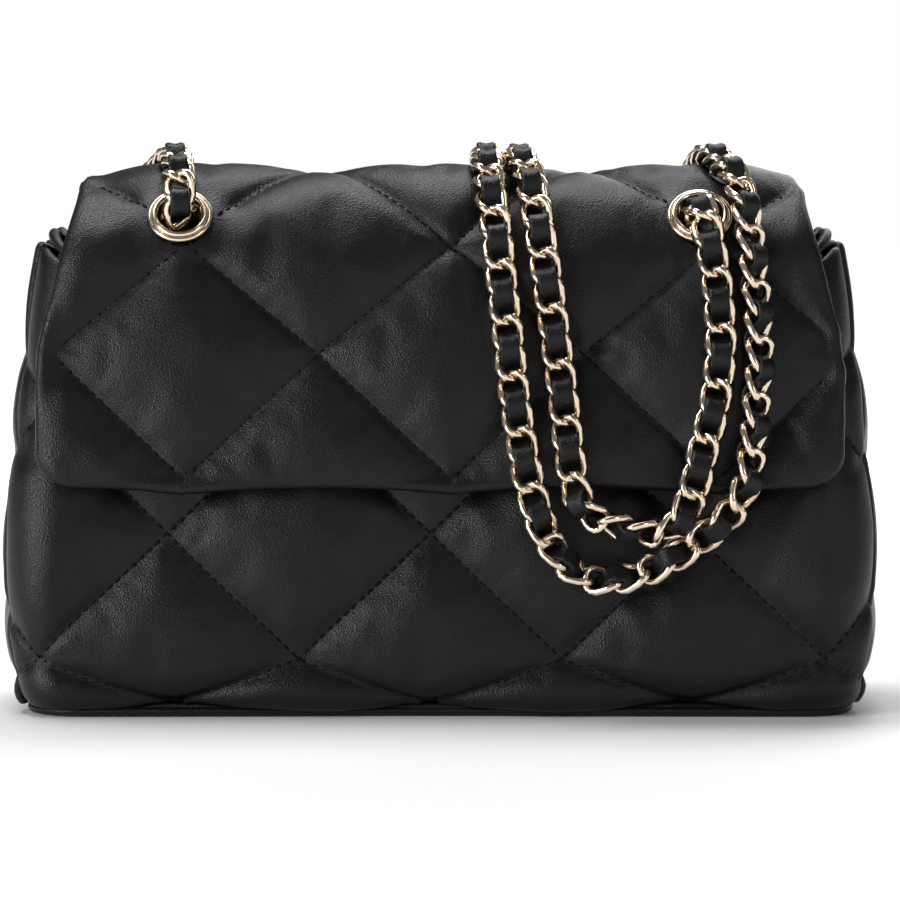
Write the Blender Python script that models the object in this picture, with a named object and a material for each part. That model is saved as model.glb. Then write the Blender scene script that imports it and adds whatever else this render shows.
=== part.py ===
"""A quilted flap bag on a laced chain strap, as the separate pieces that it is sewn from.

Metres. The bag faces -Y, +X is on the right of someone who looks at its front, +Z is
up, and the origin is on the ground under the middle of the bag.
"""

import math

import bmesh
import bpy
import numpy as np
from mathutils import Matrix, Vector

GAP = 0.0003  # left between pieces that touch
CUT_BEYOND = 0.002  # how far a cutter passes what it cuts

# Body: the outer surface of the five panels
BODY_WIDTH = 0.270  # at its widest
BELLY_Z = 0.034  # height of the widest place
BODY_TOP_Z = 0.150  # where the tapers and leans below reach their full amounts
SIDE_TAPER = 0.0105  # how far each side has come in there
FOOT_TAPER = 0.0006  # how far each side has come in at the ground
FRONT_REACH = 0.040  # from the middle plane to the front panel's furthest point
FRONT_LEAN = 0.018  # how far the front panel leans back
BACK_LEAN = 0.011
CORNER_RADIUS = 0.016  # of the upright corners, seen from above
ROLL_HEIGHT = 0.012  # the panels turn under at the foot
ROLL_IN = 0.010
ROLL_IN_SIDE = 0.007
ROLL_STOP = math.radians(40)  # where on that turn their lower edges are
PANEL_THICKNESS = 0.004
LINING_THICKNESS = 0.0009
MOUTH_SIDE_Z = 0.148  # top of the gussets at the corners
MOUTH_FRONT_Z = 0.140  # top of the front panel
MOUTH_FOLD_Z = 0.142  # top of each gusset at its inward fold
GUSSET_FOLD = 0.008  # depth of that fold
GUSSET_FOLD_FOOT_Z = 0.055  # where it runs out
BINDING_RADIUS = 0.0018
PIPING_RADIUS = 0.00125
BASE_THICKNESS = 0.004
BOARD_THICKNESS = 0.0018

# Flap
HINGE_Z = 0.143  # the flap folds here, at the back
FLAP_TOP_Z = 0.172
RIDGE_Y = 0.004
FLAP_SHOULDER_Z = 0.140  # below this the flap follows the front panel
FLAP_EDGE_Z = 0.0715
FLAP_TOP_HALF = 0.113  # half its width over the ridge
FLAP_EDGE_HALF = 0.126  # half its width at the lower edge
FLAP_CORNER = 0.010
FLAP_DROOP = 0.006  # how far the ends of the arch hang
FLAP_THICKNESS = 0.0055
FLAP_CLEARANCE = 0.0034  # from its lining to the front panel
FLAP_LINING_INSET = 0.003

# Eyelets, two over the front shoulder of the flap and two over its back shoulder
EYELET_X = 0.081
EYELET_FRONT_Z = 0.156
EYELET_BACK_Z = 0.160
EYELET_HOLE = 0.0070  # radius
EYELET_WALL = 0.0007  # of the barrel round the hole
EYELET_RIM = 0.0025  # from the barrel to the flange's edge
EYELET_SEAT = 0.0016  # how deep the flange sits in the padding
EYELET_HEIGHT = 0.0007
WASHER_RIM = 0.0028  # from the barrel to the washer's edge
WASHER_THICKNESS = 0.0009

# Magnetic snap
SNAP_Z = 0.088
SNAP_RADIUS = 0.0075
STUD_THICKNESS = 0.0011
STUD_BOSS = 0.0013

# Pockets
POCKET_MARGIN = 0.008  # beside the zip's window
POCKET_FOOT_Z = 0.040
POCKET_TOP_Z = 0.127
POCKET_ROOM = 0.0070
POCKET_WALL = 0.0010
POCKET_SEAM = 0.0012  # width of the wall where a pocket is sewn down
POCKET_SLACK = 0.0007  # from the lining to a pocket
SLIP_TOP_Z = 0.104
ZIP_Z = 0.112
ZIP_LENGTH = 0.140
ZIP_WINDOW = 0.012
TAPE_HEIGHT = 0.0065
TAPE_THICKNESS = 0.0006
TEETH_SPLIT = 0.0006  # from the zip's middle line to each row of teeth
TEETH_HEIGHT = 0.0018
TEETH_THICKNESS = 0.0018
SLIDER_LENGTH = 0.0085
SLIDER_HEIGHT = 0.0080
SLIDER_PLATE = 0.0012
PULL_PIN_RADIUS = 0.0006
PULL_EYE = 0.0020
PULL_LENGTH = 0.020
PULL_WIDTH = 0.0034
PULL_THICKNESS = 0.0011

# Strap: the closed solids of the laced chain, along its middle line
STRAP_RADIUS = 0.0037

# Left loop: up the back, over the flap, in at the front left eyelet, out at the back
STRAP_LEFT_LOOP = (
    (-0.1000, 0.0403, 0.1434), (-0.0985, 0.0398, 0.1510), (-0.0965, 0.0352, 0.1592),
    (-0.0930, 0.0280, 0.1674), (-0.0885, 0.0175, 0.1744), (-0.0850, 0.0050, 0.1770),
    (-0.0832, -0.0080, 0.1757), (-0.0820, -0.0190, 0.1714), (-0.0812, -0.0275, 0.1655),
    (-0.0810, -0.0285, 0.1590), (-0.0810, -0.0226, 0.1532), (-0.0810, -0.0140, 0.1495),
    (-0.0810, -0.0030, 0.1480), (-0.0810, 0.0100, 0.1492), (-0.0810, 0.0205, 0.1540),
    (-0.0810, 0.0283, 0.1603), (-0.0810, 0.0345, 0.1618), (-0.0809, 0.0393, 0.1570),
    (-0.0805, 0.0410, 0.1495), (-0.0800, 0.0403, 0.1434),
)
# The two hanging loops behind the bag
STRAP_BACK_OUTER = (
    (-0.1000, 0.0404, 0.1417), (-0.0990, 0.0424, 0.1270), (-0.0965, 0.0444, 0.1080),
    (-0.0920, 0.0466, 0.0880), (-0.0840, 0.0490, 0.0700), (-0.0720, 0.0505, 0.0560),
    (-0.0560, 0.0511, 0.0475), (-0.0390, 0.0513, 0.0450), (-0.0225, 0.0511, 0.0490),
    (-0.0085, 0.0503, 0.0590), (0.0025, 0.0486, 0.0730), (0.0110, 0.0466, 0.0900),
    (0.0175, 0.0445, 0.1080), (0.0225, 0.0424, 0.1270), (0.0252, 0.0404, 0.1417),
)
STRAP_BACK_INNER = (
    (-0.0800, 0.0404, 0.1417), (-0.0790, 0.0424, 0.1260), (-0.0755, 0.0445, 0.1080),
    (-0.0690, 0.0463, 0.0920), (-0.0590, 0.0480, 0.0790), (-0.0455, 0.0488, 0.0720),
    (-0.0310, 0.0488, 0.0730), (-0.0180, 0.0478, 0.0810), (-0.0075, 0.0462, 0.0930),
    (0.0010, 0.0445, 0.1080), (0.0085, 0.0425, 0.1250), (0.0142, 0.0404, 0.1417),
)
# Over the flap, the inner loop in front, and in at the front right eyelet
STRAP_FRONT_INNER = (
    (0.0252, 0.0403, 0.1434), (0.0253, 0.0388, 0.1535), (0.0253, 0.0308, 0.1652),
    (0.0252, 0.0190, 0.1740), (0.0252, 0.0050, 0.1770), (0.0258, -0.0090, 0.1755),
    (0.0275, -0.0210, 0.1698), (0.0292, -0.0302, 0.1610), (0.0312, -0.0363, 0.1490),
    (0.0335, -0.0403, 0.1340), (0.0359, -0.0436, 0.1160), (0.0382, -0.0466, 0.0980),
    (0.0398, -0.0490, 0.0830), (0.0420, -0.0504, 0.0700), (0.0462, -0.0502, 0.0622),
    (0.0530, -0.0494, 0.0582), (0.0610, -0.0490, 0.0560), (0.0685, -0.0492, 0.0552),
    (0.0742, -0.0500, 0.0606), (0.0780, -0.0504, 0.0705), (0.0810, -0.0490, 0.0845),
    (0.0846, -0.0466, 0.0985), (0.0866, -0.0438, 0.1150), (0.0860, -0.0408, 0.1310),
    (0.0842, -0.0384, 0.1440), (0.0826, -0.0366, 0.1520), (0.0816, -0.0330, 0.1572),
    (0.0810, -0.0280, 0.1580), (0.0810, -0.0222, 0.1528), (0.0810, -0.0140, 0.1495),
    (0.0810, -0.0032, 0.1480),
)
# Out at the back right eyelet, over the flap, the outer loop in front, and back over
STRAP_FRONT_OUTER = (
    (0.0810, 0.0002, 0.1480), (0.0810, 0.0090, 0.1490), (0.0810, 0.0200, 0.1535),
    (0.0812, 0.0283, 0.1605), (0.0820, 0.0305, 0.1672), (0.0834, 0.0240, 0.1728),
    (0.0850, 0.0120, 0.1766), (0.0868, 0.0000, 0.1770), (0.0892, -0.0120, 0.1746),
    (0.0920, -0.0225, 0.1690), (0.0945, -0.0315, 0.1602), (0.0962, -0.0372, 0.1480),
    (0.0978, -0.0408, 0.1310), (0.0985, -0.0442, 0.1130), (0.0972, -0.0470, 0.0960),
    (0.0955, -0.0496, 0.0800), (0.0925, -0.0506, 0.0680), (0.0862, -0.0504, 0.0585),
    (0.0772, -0.0498, 0.0510), (0.0680, -0.0492, 0.0452), (0.0575, -0.0488, 0.0412),
    (0.0480, -0.0486, 0.0406), (0.0400, -0.0490, 0.0445), (0.0335, -0.0496, 0.0530),
    (0.0290, -0.0504, 0.0665), (0.0262, -0.0496, 0.0800), (0.0232, -0.0464, 0.0990),
    (0.0212, -0.0434, 0.1170), (0.0192, -0.0400, 0.1350), (0.0176, -0.0360, 0.1500),
    (0.0160, -0.0302, 0.1610), (0.0150, -0.0210, 0.1698), (0.0147, -0.0090, 0.1755),
    (0.0146, 0.0050, 0.1770), (0.0144, 0.0190, 0.1740), (0.0143, 0.0308, 0.1652),
    (0.0142, 0.0388, 0.1535), (0.0142, 0.0403, 0.1434),
)

# Worked out from the above
LINING_SLACK = GAP + 0.15 * PANEL_THICKNESS  # the facets of a thicker panel reach further in
EYELET_BARREL = EYELET_HOLE + EYELET_WALL
EYELET_FLANGE = EYELET_BARREL + EYELET_RIM
WASHER_RADIUS = EYELET_BARREL + WASHER_RIM
POCKET_HALF = ZIP_LENGTH / 2 + POCKET_MARGIN
LINING_FACE = PANEL_THICKNESS + LINING_SLACK + LINING_THICKNESS  # depth of the lining's inner face
FLAP_STACK = FLAP_THICKNESS + GAP + LINING_THICKNESS
FLAP_STANDOFF = FLAP_CLEARANCE + FLAP_STACK


def ease(x):
    """From 0 to 1, with no slope at either end."""
    x = min(max(x, 0.0), 1.0)
    return x * x * (3 - 2 * x)


# Body surface


def height_share(z):
    return max(0.0, (z - BELLY_Z) / (BODY_TOP_Z - BELLY_Z))


def half_width(z):
    if z < BELLY_Z:
        return BODY_WIDTH / 2 - FOOT_TAPER * (1 - z / BELLY_Z) ** 2
    return BODY_WIDTH / 2 - SIDE_TAPER * height_share(z) ** 2


def front_depth(z):
    return FRONT_REACH - FRONT_LEAN * height_share(z) ** 1.3


def flap_face(z):
    """How far the flap's outer face stands in front of the middle plane."""
    return front_depth(z) + FLAP_STANDOFF


def back_depth(z):
    """The back reaches as far from the middle plane as the flap's lower edge does."""
    return flap_face(FLAP_EDGE_Z) - BACK_LEAN * height_share(z) ** 1.2


def outline(s, z, tuck, clear=0.0):
    """A point round the body at height z. s is 0 to 1 along the front, 1 to 2 round a
    corner, 2 to 3 along the right side, and so on to 8. tuck, 0 to 1, is how far the foot
    has turned in, and clear is a further distance inwards."""
    half = half_width(z) - ROLL_IN_SIDE * tuck - clear
    front = -front_depth(z) + ROLL_IN * tuck + clear
    back = back_depth(z) - ROLL_IN * tuck - clear
    middle, depth = (front + back) / 2, (back - front) / 2
    radius = CORNER_RADIUS - clear
    side, part = divmod(s % 8, 2)
    across = side % 2 == 0
    run = (half if across else depth) - radius
    reach = depth if across else half
    if part <= 1:
        along, out = run * (2 * part - 1), reach
        if not across:
            span = MOUTH_FOLD_Z - GUSSET_FOLD_FOOT_Z
            fold = GUSSET_FOLD * ease((z - GUSSET_FOLD_FOOT_Z) / span)
            out -= fold * math.cos(math.pi * (part - 0.5)) ** 2
    else:
        turn = (part - 1) * math.pi / 2
        along, out = run + radius * math.sin(turn), reach - radius * (1 - math.cos(turn))
    angle = side * math.pi / 2
    x = along * math.cos(angle) + out * math.sin(angle)
    y = along * math.sin(angle) - out * math.cos(angle)
    return Vector((x, y + middle, z))


def mouth_z(s):
    """Height of the panels' upper edge: low at the front, high at the corners, dipping at
    each gusset's fold, and level with the hinge at the back."""
    away = abs((s + 3.5) % 8 - 4)  # 0 at the middle of the front, 4 at the middle of the back
    if away < 1.5:
        return MOUTH_FRONT_Z + (MOUTH_SIDE_Z - MOUTH_FRONT_Z) * ease(away - 0.5)
    if away < 2.5:
        dip = math.cos(math.pi * (away - 2)) ** 2
        return MOUTH_SIDE_Z - (MOUTH_SIDE_Z - MOUTH_FOLD_Z) * dip
    back = HINGE_Z - GAP
    return MOUTH_SIDE_Z + (back - MOUTH_SIDE_Z) * ease((away - 2.5) / 0.7)


def body_point(s, t):
    """t is 0 to 1 round the turn at the foot, and 1 to 2 up the wall."""
    if t < 1:
        turn = t * math.pi / 2
        return outline(s, ROLL_HEIGHT * (1 - math.cos(turn)), 1 - math.sin(turn))
    return outline(s, ROLL_HEIGHT + (t - 1) * (mouth_z(s) - ROLL_HEIGHT), 0)


def body_at(s, t, depth):
    """The point that lies depth inside the body's outer surface."""
    step = 1e-4
    along = body_point(s + step, t) - body_point(s - step, t)
    up = body_point(s, t + step) - body_point(s, t - step)
    return body_point(s, t) - depth * along.cross(up).normalized()


def wall_share(z, s):
    """The t at which the wall is z high."""
    return 1 + (z - ROLL_HEIGHT) / (mouth_z(s) - ROLL_HEIGHT)


# Flap surface


def flap_outline():
    """The flap's outer line from the hinge over the ridge to its lower edge, as (y, z)."""
    points = []
    steps = 60
    for i in range(steps):
        turn = math.pi / 2 * i / steps
        z = HINGE_Z + (FLAP_TOP_Z - HINGE_Z) * math.sin(turn)
        points.append((RIDGE_Y + (back_depth(z) - RIDGE_Y) * math.cos(turn), z))
    for i in range(steps):
        turn = math.pi / 2 * (1 - i / steps)
        z = FLAP_SHOULDER_Z + (FLAP_TOP_Z - FLAP_SHOULDER_Z) * math.sin(turn)
        points.append((RIDGE_Y - (flap_face(z) + RIDGE_Y) * math.cos(turn), z))
    for z in np.linspace(FLAP_SHOULDER_Z, FLAP_EDGE_Z, steps):
        points.append((-flap_face(z), z))
    return np.array(points)


FLAP_LINE = flap_outline()
FLAP_RUN = np.concatenate([[0], np.cumsum(np.hypot(*np.diff(FLAP_LINE, axis=0).T))])
FLAP_LENGTH = float(FLAP_RUN[-1])
RIDGE_RUN = float(FLAP_RUN[np.argmax(FLAP_LINE[:, 1])])


def flap_line(run):
    """(y, z) and the outward normal at a distance along the flap from its hinge."""
    point = np.array([np.interp(run, FLAP_RUN, FLAP_LINE[:, i]) for i in (0, 1)])
    ends = np.clip([run - 0.002, run + 0.002], 0, FLAP_LENGTH)
    ahead = [np.diff(np.interp(ends, FLAP_RUN, FLAP_LINE[:, i]))[0] for i in (0, 1)]
    normal = np.array([-ahead[1], ahead[0]])
    return point, -normal / np.linalg.norm(normal)


def flap_half(run):
    share = (run - RIDGE_RUN) / (FLAP_LENGTH - RIDGE_RUN)
    half = FLAP_TOP_HALF + (FLAP_EDGE_HALF - FLAP_TOP_HALF) * ease(share / 0.85)
    into = max(0.0, run - (FLAP_LENGTH - FLAP_CORNER))
    return half - FLAP_CORNER + math.sqrt(max(0.0, FLAP_CORNER**2 - into**2))


def flap_at(u, run, depth, inset=0.0):
    """u is -1 to 1 across. inset draws the side edges in."""
    (y, z), (out_y, out_z) = flap_line(run)
    arch = ease((z - HINGE_Z) / (FLAP_TOP_Z - HINGE_Z))
    z -= FLAP_DROOP * arch * ease((abs(u) - 0.8) / 0.2)
    x = u * (flap_half(run) - inset)
    return Vector((x, y - depth * out_y, z - depth * out_z))


def flap_frame(x, z, front):
    """A frame on the flap with +Z out of it, at a height on its front or its back."""
    on_side = (FLAP_LINE[:, 0] < RIDGE_Y) == front
    nearest = np.argmin(np.where(on_side, abs(FLAP_LINE[:, 1] - z), np.inf))
    (y, z), (out_y, out_z) = flap_line(FLAP_RUN[nearest])
    out = Vector((0, out_y, out_z))
    side = Vector((1, 0, 0))
    turn = Matrix((side, out.cross(side), out)).transposed().to_4x4()
    return Matrix.Translation((x, y, z)) @ turn


# Blender helpers


def clear_scene():
    for obj in list(bpy.data.objects):
        bpy.data.objects.remove(obj, do_unlink=True)


def material(name, colour, roughness, metallic=0.0):
    made = bpy.data.materials.new(name)
    made.use_nodes = True
    shader = made.node_tree.nodes["Principled BSDF"]
    shader.inputs["Base Color"].default_value = (*colour, 1)
    shader.inputs["Roughness"].default_value = roughness
    shader.inputs["Metallic"].default_value = metallic
    return made


def add_object(name, data, finish):
    obj = bpy.data.objects.new(name, data)
    bpy.context.scene.collection.objects.link(obj)
    if finish:
        data.materials.append(finish)
    return obj


def face_outwards(bm):
    bmesh.ops.recalc_face_normals(bm, faces=bm.faces[:])
    if bm.calc_volume(signed=True) < 0:
        bmesh.ops.reverse_faces(bm, faces=bm.faces[:])


def mesh_object(name, bm, finish, smooth_angle=math.radians(40)):
    face_outwards(bm)
    mesh = bpy.data.meshes.new(name)
    bm.to_mesh(mesh)
    bm.free()
    mesh.shade_smooth()
    mesh.set_sharp_from_angle(angle=smooth_angle)
    return add_object(name, mesh, finish)


def block(us, vs, place):
    """A slab of one layer of cells, bent to shape: place(u, v, side) gives each corner's
    point, where side is 0 on the outer face and 1 on the inner one."""
    bm = bmesh.new()
    bmesh.ops.create_grid(bm, x_segments=len(us) - 1, y_segments=len(vs) - 1, size=0.5)
    raised = bmesh.ops.extrude_face_region(bm, geom=bm.faces[:])["geom"]
    moved = [item for item in raised if isinstance(item, bmesh.types.BMVert)]
    bmesh.ops.translate(bm, verts=moved, vec=(0, 0, 1))
    for vert in bm.verts:
        u = us[round((vert.co.x + 0.5) * (len(us) - 1))]
        v = vs[round((vert.co.y + 0.5) * (len(vs) - 1))]
        vert.co = place(u, v, round(vert.co.z))
    return bm


def stacked_rings(segments, rings, place):
    """A closed skin of rings, capped at its first and last: place(s, ring) gives the
    points, with s from 0 to 8 round the ring."""
    bm = bmesh.new()
    made = bmesh.ops.create_circle(bm, cap_ends=True, segments=segments, radius=1)
    edge = [e for vert in made["verts"] for e in vert.link_edges]
    edge = list(dict.fromkeys(edge))
    for _ in range(rings - 1):
        grown = bmesh.ops.extrude_edge_only(bm, edges=edge)["geom"]
        verts = [item for item in grown if isinstance(item, bmesh.types.BMVert)]
        edge = [e for e in grown if isinstance(e, bmesh.types.BMEdge)]
        bmesh.ops.translate(bm, verts=verts, vec=(0, 0, 1))
        edge = [e for e in edge if all(v in verts for v in e.verts)]
    bmesh.ops.contextual_create(bm, geom=edge)
    for vert in bm.verts:
        s = math.atan2(vert.co.y, vert.co.x) / math.pi * 4 % 8
        vert.co = place(s, round(vert.co.z))
    return bm


def turned(profile, steps):
    """A solid of revolution about Z from a closed profile of (radius, height)."""
    bm = bmesh.new()
    verts = [bm.verts.new((radius, 0, height)) for radius, height in profile]
    count = len(verts)
    edges = [bm.edges.new((verts[i], verts[(i + 1) % count])) for i in range(count)]
    bmesh.ops.spin(
        bm, geom=verts + edges, cent=(0, 0, 0), axis=(0, 0, 1),
        angle=math.tau, steps=steps, use_merge=True,
    )
    bmesh.ops.remove_doubles(bm, verts=bm.verts[:], dist=1e-6)
    return bm


def capped(profile, steps):
    """As turned, for an open profile that starts and ends on the axis."""
    bm = bmesh.new()
    verts = [bm.verts.new((radius, 0, height)) for radius, height in profile]
    edges = [bm.edges.new(pair) for pair in zip(verts, verts[1:])]
    bmesh.ops.spin(
        bm, geom=verts + edges, cent=(0, 0, 0), axis=(0, 0, 1),
        angle=math.tau, steps=steps, use_merge=True,
    )
    bmesh.ops.remove_doubles(bm, verts=bm.verts[:], dist=1e-6)
    return bm


def box(size, middle, bevel=0.0):
    bm = bmesh.new()
    bmesh.ops.create_cube(bm, size=1)
    bmesh.ops.scale(bm, vec=size, verts=bm.verts)
    if bevel:
        bmesh.ops.bevel(
            bm, geom=bm.edges[:], offset=bevel, segments=1, profile=0.5,
            affect="EDGES", material=-1,
        )
    bmesh.ops.translate(bm, vec=middle, verts=bm.verts)
    return bm


def cylinder_x(radius, length, middle, segments=12):
    bm = bmesh.new()
    bmesh.ops.create_cone(
        bm, cap_ends=True, segments=segments, radius1=radius, radius2=radius,
        depth=length, matrix=Matrix.Rotation(math.pi / 2, 4, "Y"),
    )
    bmesh.ops.translate(bm, vec=middle, verts=bm.verts)
    return bm


def merged(parts):
    """Several meshes in one, with no join between them."""
    bm = bmesh.new()
    for part in parts:
        mesh = bpy.data.meshes.new("part")
        face_outwards(part)
        part.to_mesh(mesh)
        part.free()
        bm.from_mesh(mesh)
        bpy.data.meshes.remove(mesh)
    return bm


def helper(name, bm):
    obj = mesh_object(name, bm, None)
    obj.hide_render = True
    obj.display_type = "WIRE"
    return obj


def boolean(obj, other, operation):
    change = obj.modifiers.new(other.name, "BOOLEAN")
    change.operation = operation
    change.solver = "EXACT"
    change.object = other


def tube(name, points, radius, finish, cyclic=False, sides=2):
    curve = bpy.data.curves.new(name, "CURVE")
    curve.dimensions = "3D"
    curve.bevel_depth = radius
    curve.bevel_resolution = sides
    curve.use_fill_caps = not cyclic
    spline = curve.splines.new("POLY")
    spline.points.add(len(points) - 1)
    for point, place in zip(spline.points, points):
        point.co = (*place, 1)
    spline.use_cyclic_u = cyclic
    return add_object(name, curve, finish)


def smooth_route(points, count):
    """count points evenly along a Catmull-Rom curve through the route's own points."""
    ends = [2 * np.array(points[0]) - points[1], 2 * np.array(points[-1]) - points[-2]]
    knots = np.array([ends[0], *points, ends[1]])
    fine = []
    for a, b, c, d in zip(knots, knots[1:], knots[2:], knots[3:]):
        for t in np.linspace(0, 1, 12, endpoint=False):
            fine.append(
                0.5 * (2 * b + (c - a) * t + (2 * a - 5 * b + 4 * c - d) * t**2
                       + (3 * b - a - 3 * c + d) * t**3)
            )
    fine.append(knots[-2])
    fine = np.array(fine)
    run = np.concatenate([[0], np.cumsum(np.linalg.norm(np.diff(fine, axis=0), axis=1))])
    at = np.linspace(0, run[-1], count)
    return np.stack([np.interp(at, run, fine[:, i]) for i in range(3)], axis=1)


def hang_on(empty, objects):
    """Parents the pieces to their joint's empty, with their origins on its axis."""
    for obj in objects:
        obj.data.transform(Matrix.Translation(-empty.matrix_world.translation))
        obj.parent = empty


def joint_empty(name, place, parent=None):
    empty = bpy.data.objects.new(name, None)
    bpy.context.scene.collection.objects.link(empty)
    empty.location = place
    if parent:
        empty.parent = parent
        empty.location = Vector(place) - parent.matrix_world.translation
    bpy.context.view_layer.update()
    return empty


# Body pieces


def panel(name, s_from, s_to, columns, finish):
    """A padded panel of the body between two places round it."""
    foot = ROLL_STOP / (math.pi / 2)
    rows = [*np.linspace(foot, 1, 4), *np.linspace(1, 2, 10)[1:]]
    edges = [s_from, *columns, s_to]

    def place(s, t, side):
        edge = int(s == s_to) - int(s == s_from)
        point = body_at(s, t, side * PANEL_THICKNESS)
        along = (body_at(s + 1e-3, t, 0) - body_at(s - 1e-3, t, 0)).normalized()
        return point - edge * along * GAP / 2

    return mesh_object(name, block(edges, rows, place), finish)


def body_panels(finish):
    corner = [0.2, 0.35, 0.5, 0.65, 0.8]
    across = np.linspace(0, 1, 8)
    bend = corner[:-1]
    front_corner = [*(-share for share in reversed(bend)), *across, *(1 + share for share in bend)]
    back_corner = [s + 4 for s in front_corner]
    side = np.linspace(2, 3, 9)
    panel("front_panel", -0.8, 1.8, front_corner, finish)
    panel("gusset_right", 1.8, 3.2, side, finish)
    panel("back_panel", 3.2, 5.8, back_corner, finish)
    panel("gusset_left", 5.8, 7.2, [s + 4 for s in side], finish)


def foot_pieces(leather, board):
    tuck = 1 - math.sin(ROLL_STOP)
    line = 0.0009  # the piping's middle line, inside the panels' edges
    count = 64
    ring = [outline(8 * i / count, PIPING_RADIUS + GAP, tuck, line) for i in range(count)]
    tube("foot_piping", ring, PIPING_RADIUS, leather, cyclic=True)

    base_clear = line + PIPING_RADIUS + GAP

    def base(s, level):
        point = outline(s, 0, tuck, base_clear)
        return Vector((point.x, point.y, level * BASE_THICKNESS))

    mesh_object("base_panel", stacked_rings(32, 2, base), leather)

    board_z = BASE_THICKNESS + GAP
    board_clear = base_clear + PANEL_THICKNESS

    def stiffener(s, level):
        point = outline(s, 0, tuck, board_clear)
        return Vector((point.x, point.y, board_z + level * BOARD_THICKNESS))

    mesh_object("base_board", stacked_rings(32, 2, stiffener), board)


def lining_bag(finish):
    """An open bag inside the panels, its floor over the board."""
    levels = [0.52, 0.75, 1, 1.12, 1.3, 1.5, 1.7, 1.85, 2]
    top = len(levels)
    floor = BASE_THICKNESS + BOARD_THICKNESS + 2 * GAP

    def place(s, ring):
        inner = ring >= top
        t = levels[2 * top - 1 - ring] if inner else levels[ring]
        point = body_at(s, t, PANEL_THICKNESS + LINING_SLACK + inner * LINING_THICKNESS)
        if t == levels[0]:
            point.z = floor + inner * LINING_THICKNESS
        return point

    mesh_object("lining", stacked_rings(64, 2 * top, place), finish)


def mouth_binding(finish):
    """A rolled edge from one back corner round the gussets and the front to the other."""
    path = []
    for s in np.linspace(3.6, -2.6, 60):
        along = body_at(s + 0.01, 2, LINING_FACE / 2) - body_at(s - 0.01, 2, LINING_FACE / 2)
        along.normalize()
        rise = Vector((0, 0, 1)) - along * along.z
        edge = body_at(s, 2, LINING_FACE / 2)
        path.append(edge + rise.normalized() * (BINDING_RADIUS + 2 * GAP))
    tube("mouth_binding", path, BINDING_RADIUS, finish)


# Flap pieces


def flap_rows(length):
    turn = [length - FLAP_CORNER * (1 - math.sin(math.radians(a))) for a in (30, 60, 90)]
    return [*np.linspace(0, length - FLAP_CORNER, 22), *turn]


def flap_panel(leather, cloth, cutter):
    across = [-1, -0.95, -0.88, -0.8, *np.linspace(-0.68, 0.68, 9), 0.8, 0.88, 0.95, 1]

    def outer(u, run, side):
        return flap_at(u, run, side * FLAP_THICKNESS)

    def lining(u, run, side):
        depth = FLAP_THICKNESS + GAP + side * LINING_THICKNESS
        return flap_at(u, run, depth, FLAP_LINING_INSET)

    flap = mesh_object("flap", block(across, flap_rows(FLAP_LENGTH), outer), leather)
    rows = flap_rows(FLAP_LENGTH - FLAP_LINING_INSET)
    backing = mesh_object("flap_lining", block(across, rows, lining), cloth)
    for obj in (flap, backing):
        boolean(obj, cutter, "DIFFERENCE")
    return [flap, backing]


def eyelet_frames():
    for end, z, front in (("front", EYELET_FRONT_Z, True), ("back", EYELET_BACK_Z, False)):
        for side, x in (("left", -EYELET_X), ("right", EYELET_X)):
            yield f"{end}_{side}", flap_frame(x, z, front)


def washer_top():
    """The washer lies just under the flap's lining, measured down from the flap's face."""
    return -(FLAP_STACK + 0.0007)


def eyelet_cutter():
    parts = []
    low = washer_top() - 0.005
    seat = (
        (0, 0.010), (EYELET_FLANGE + GAP, 0.010), (EYELET_FLANGE + GAP, -EYELET_SEAT - GAP),
        (EYELET_BARREL + GAP, -EYELET_SEAT - GAP), (EYELET_BARREL + GAP, washer_top() + GAP),
        (WASHER_RADIUS + GAP, washer_top() + GAP), (WASHER_RADIUS + GAP, low), (0, low),
    )
    for _, frame in eyelet_frames():
        part = capped(seat, 24)
        bmesh.ops.transform(part, matrix=frame, verts=part.verts)
        parts.append(part)
    return helper("eyelet_cutter", merged(parts))


def eyelets(metal):
    made = []
    end = washer_top() - WASHER_THICKNESS - GAP
    rim = EYELET_FLANGE
    eyelet = (
        (EYELET_HOLE, end), (EYELET_BARREL, end), (EYELET_BARREL, -EYELET_SEAT),
        (rim - 0.0004, -EYELET_SEAT), (rim, -0.0007), (rim - 0.0006, EYELET_HEIGHT - 0.0004),
        (rim - 0.0016, EYELET_HEIGHT), (EYELET_HOLE + 0.0005, EYELET_HEIGHT - 0.0005),
        (EYELET_HOLE, -0.0009),
    )
    low = washer_top() - WASHER_THICKNESS
    washer = (
        (EYELET_BARREL + GAP, low), (WASHER_RADIUS, low), (WASHER_RADIUS, washer_top()),
        (EYELET_BARREL + GAP, washer_top()),
    )
    for place, frame in eyelet_frames():
        for kind, profile in (("eyelet", eyelet), ("eyelet_washer", washer)):
            bm = turned(profile, 24)
            bmesh.ops.transform(bm, matrix=frame, verts=bm.verts)
            made.append(mesh_object(f"{kind}_{place}", bm, metal))
    return made


def snap_frames():
    """Frames on the flap's lining, +Z towards the bag, and on the front panel, +Z out."""
    flap = flap_frame(0, SNAP_Z, True)
    out = flap.to_3x3() @ Vector((0, 0, 1))
    origin = flap.translation - out * (FLAP_STACK + GAP)
    stud = Matrix.Translation(origin) @ flap.to_3x3().to_4x4() @ Matrix.Rotation(math.pi, 4, "X")
    surface = Vector((0, -front_depth(origin.z), origin.z))
    room = (surface - origin).dot(-out)
    socket = Matrix.Translation(origin - out * (room - GAP)) @ flap.to_3x3().to_4x4()
    return stud, socket, room - GAP


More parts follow.
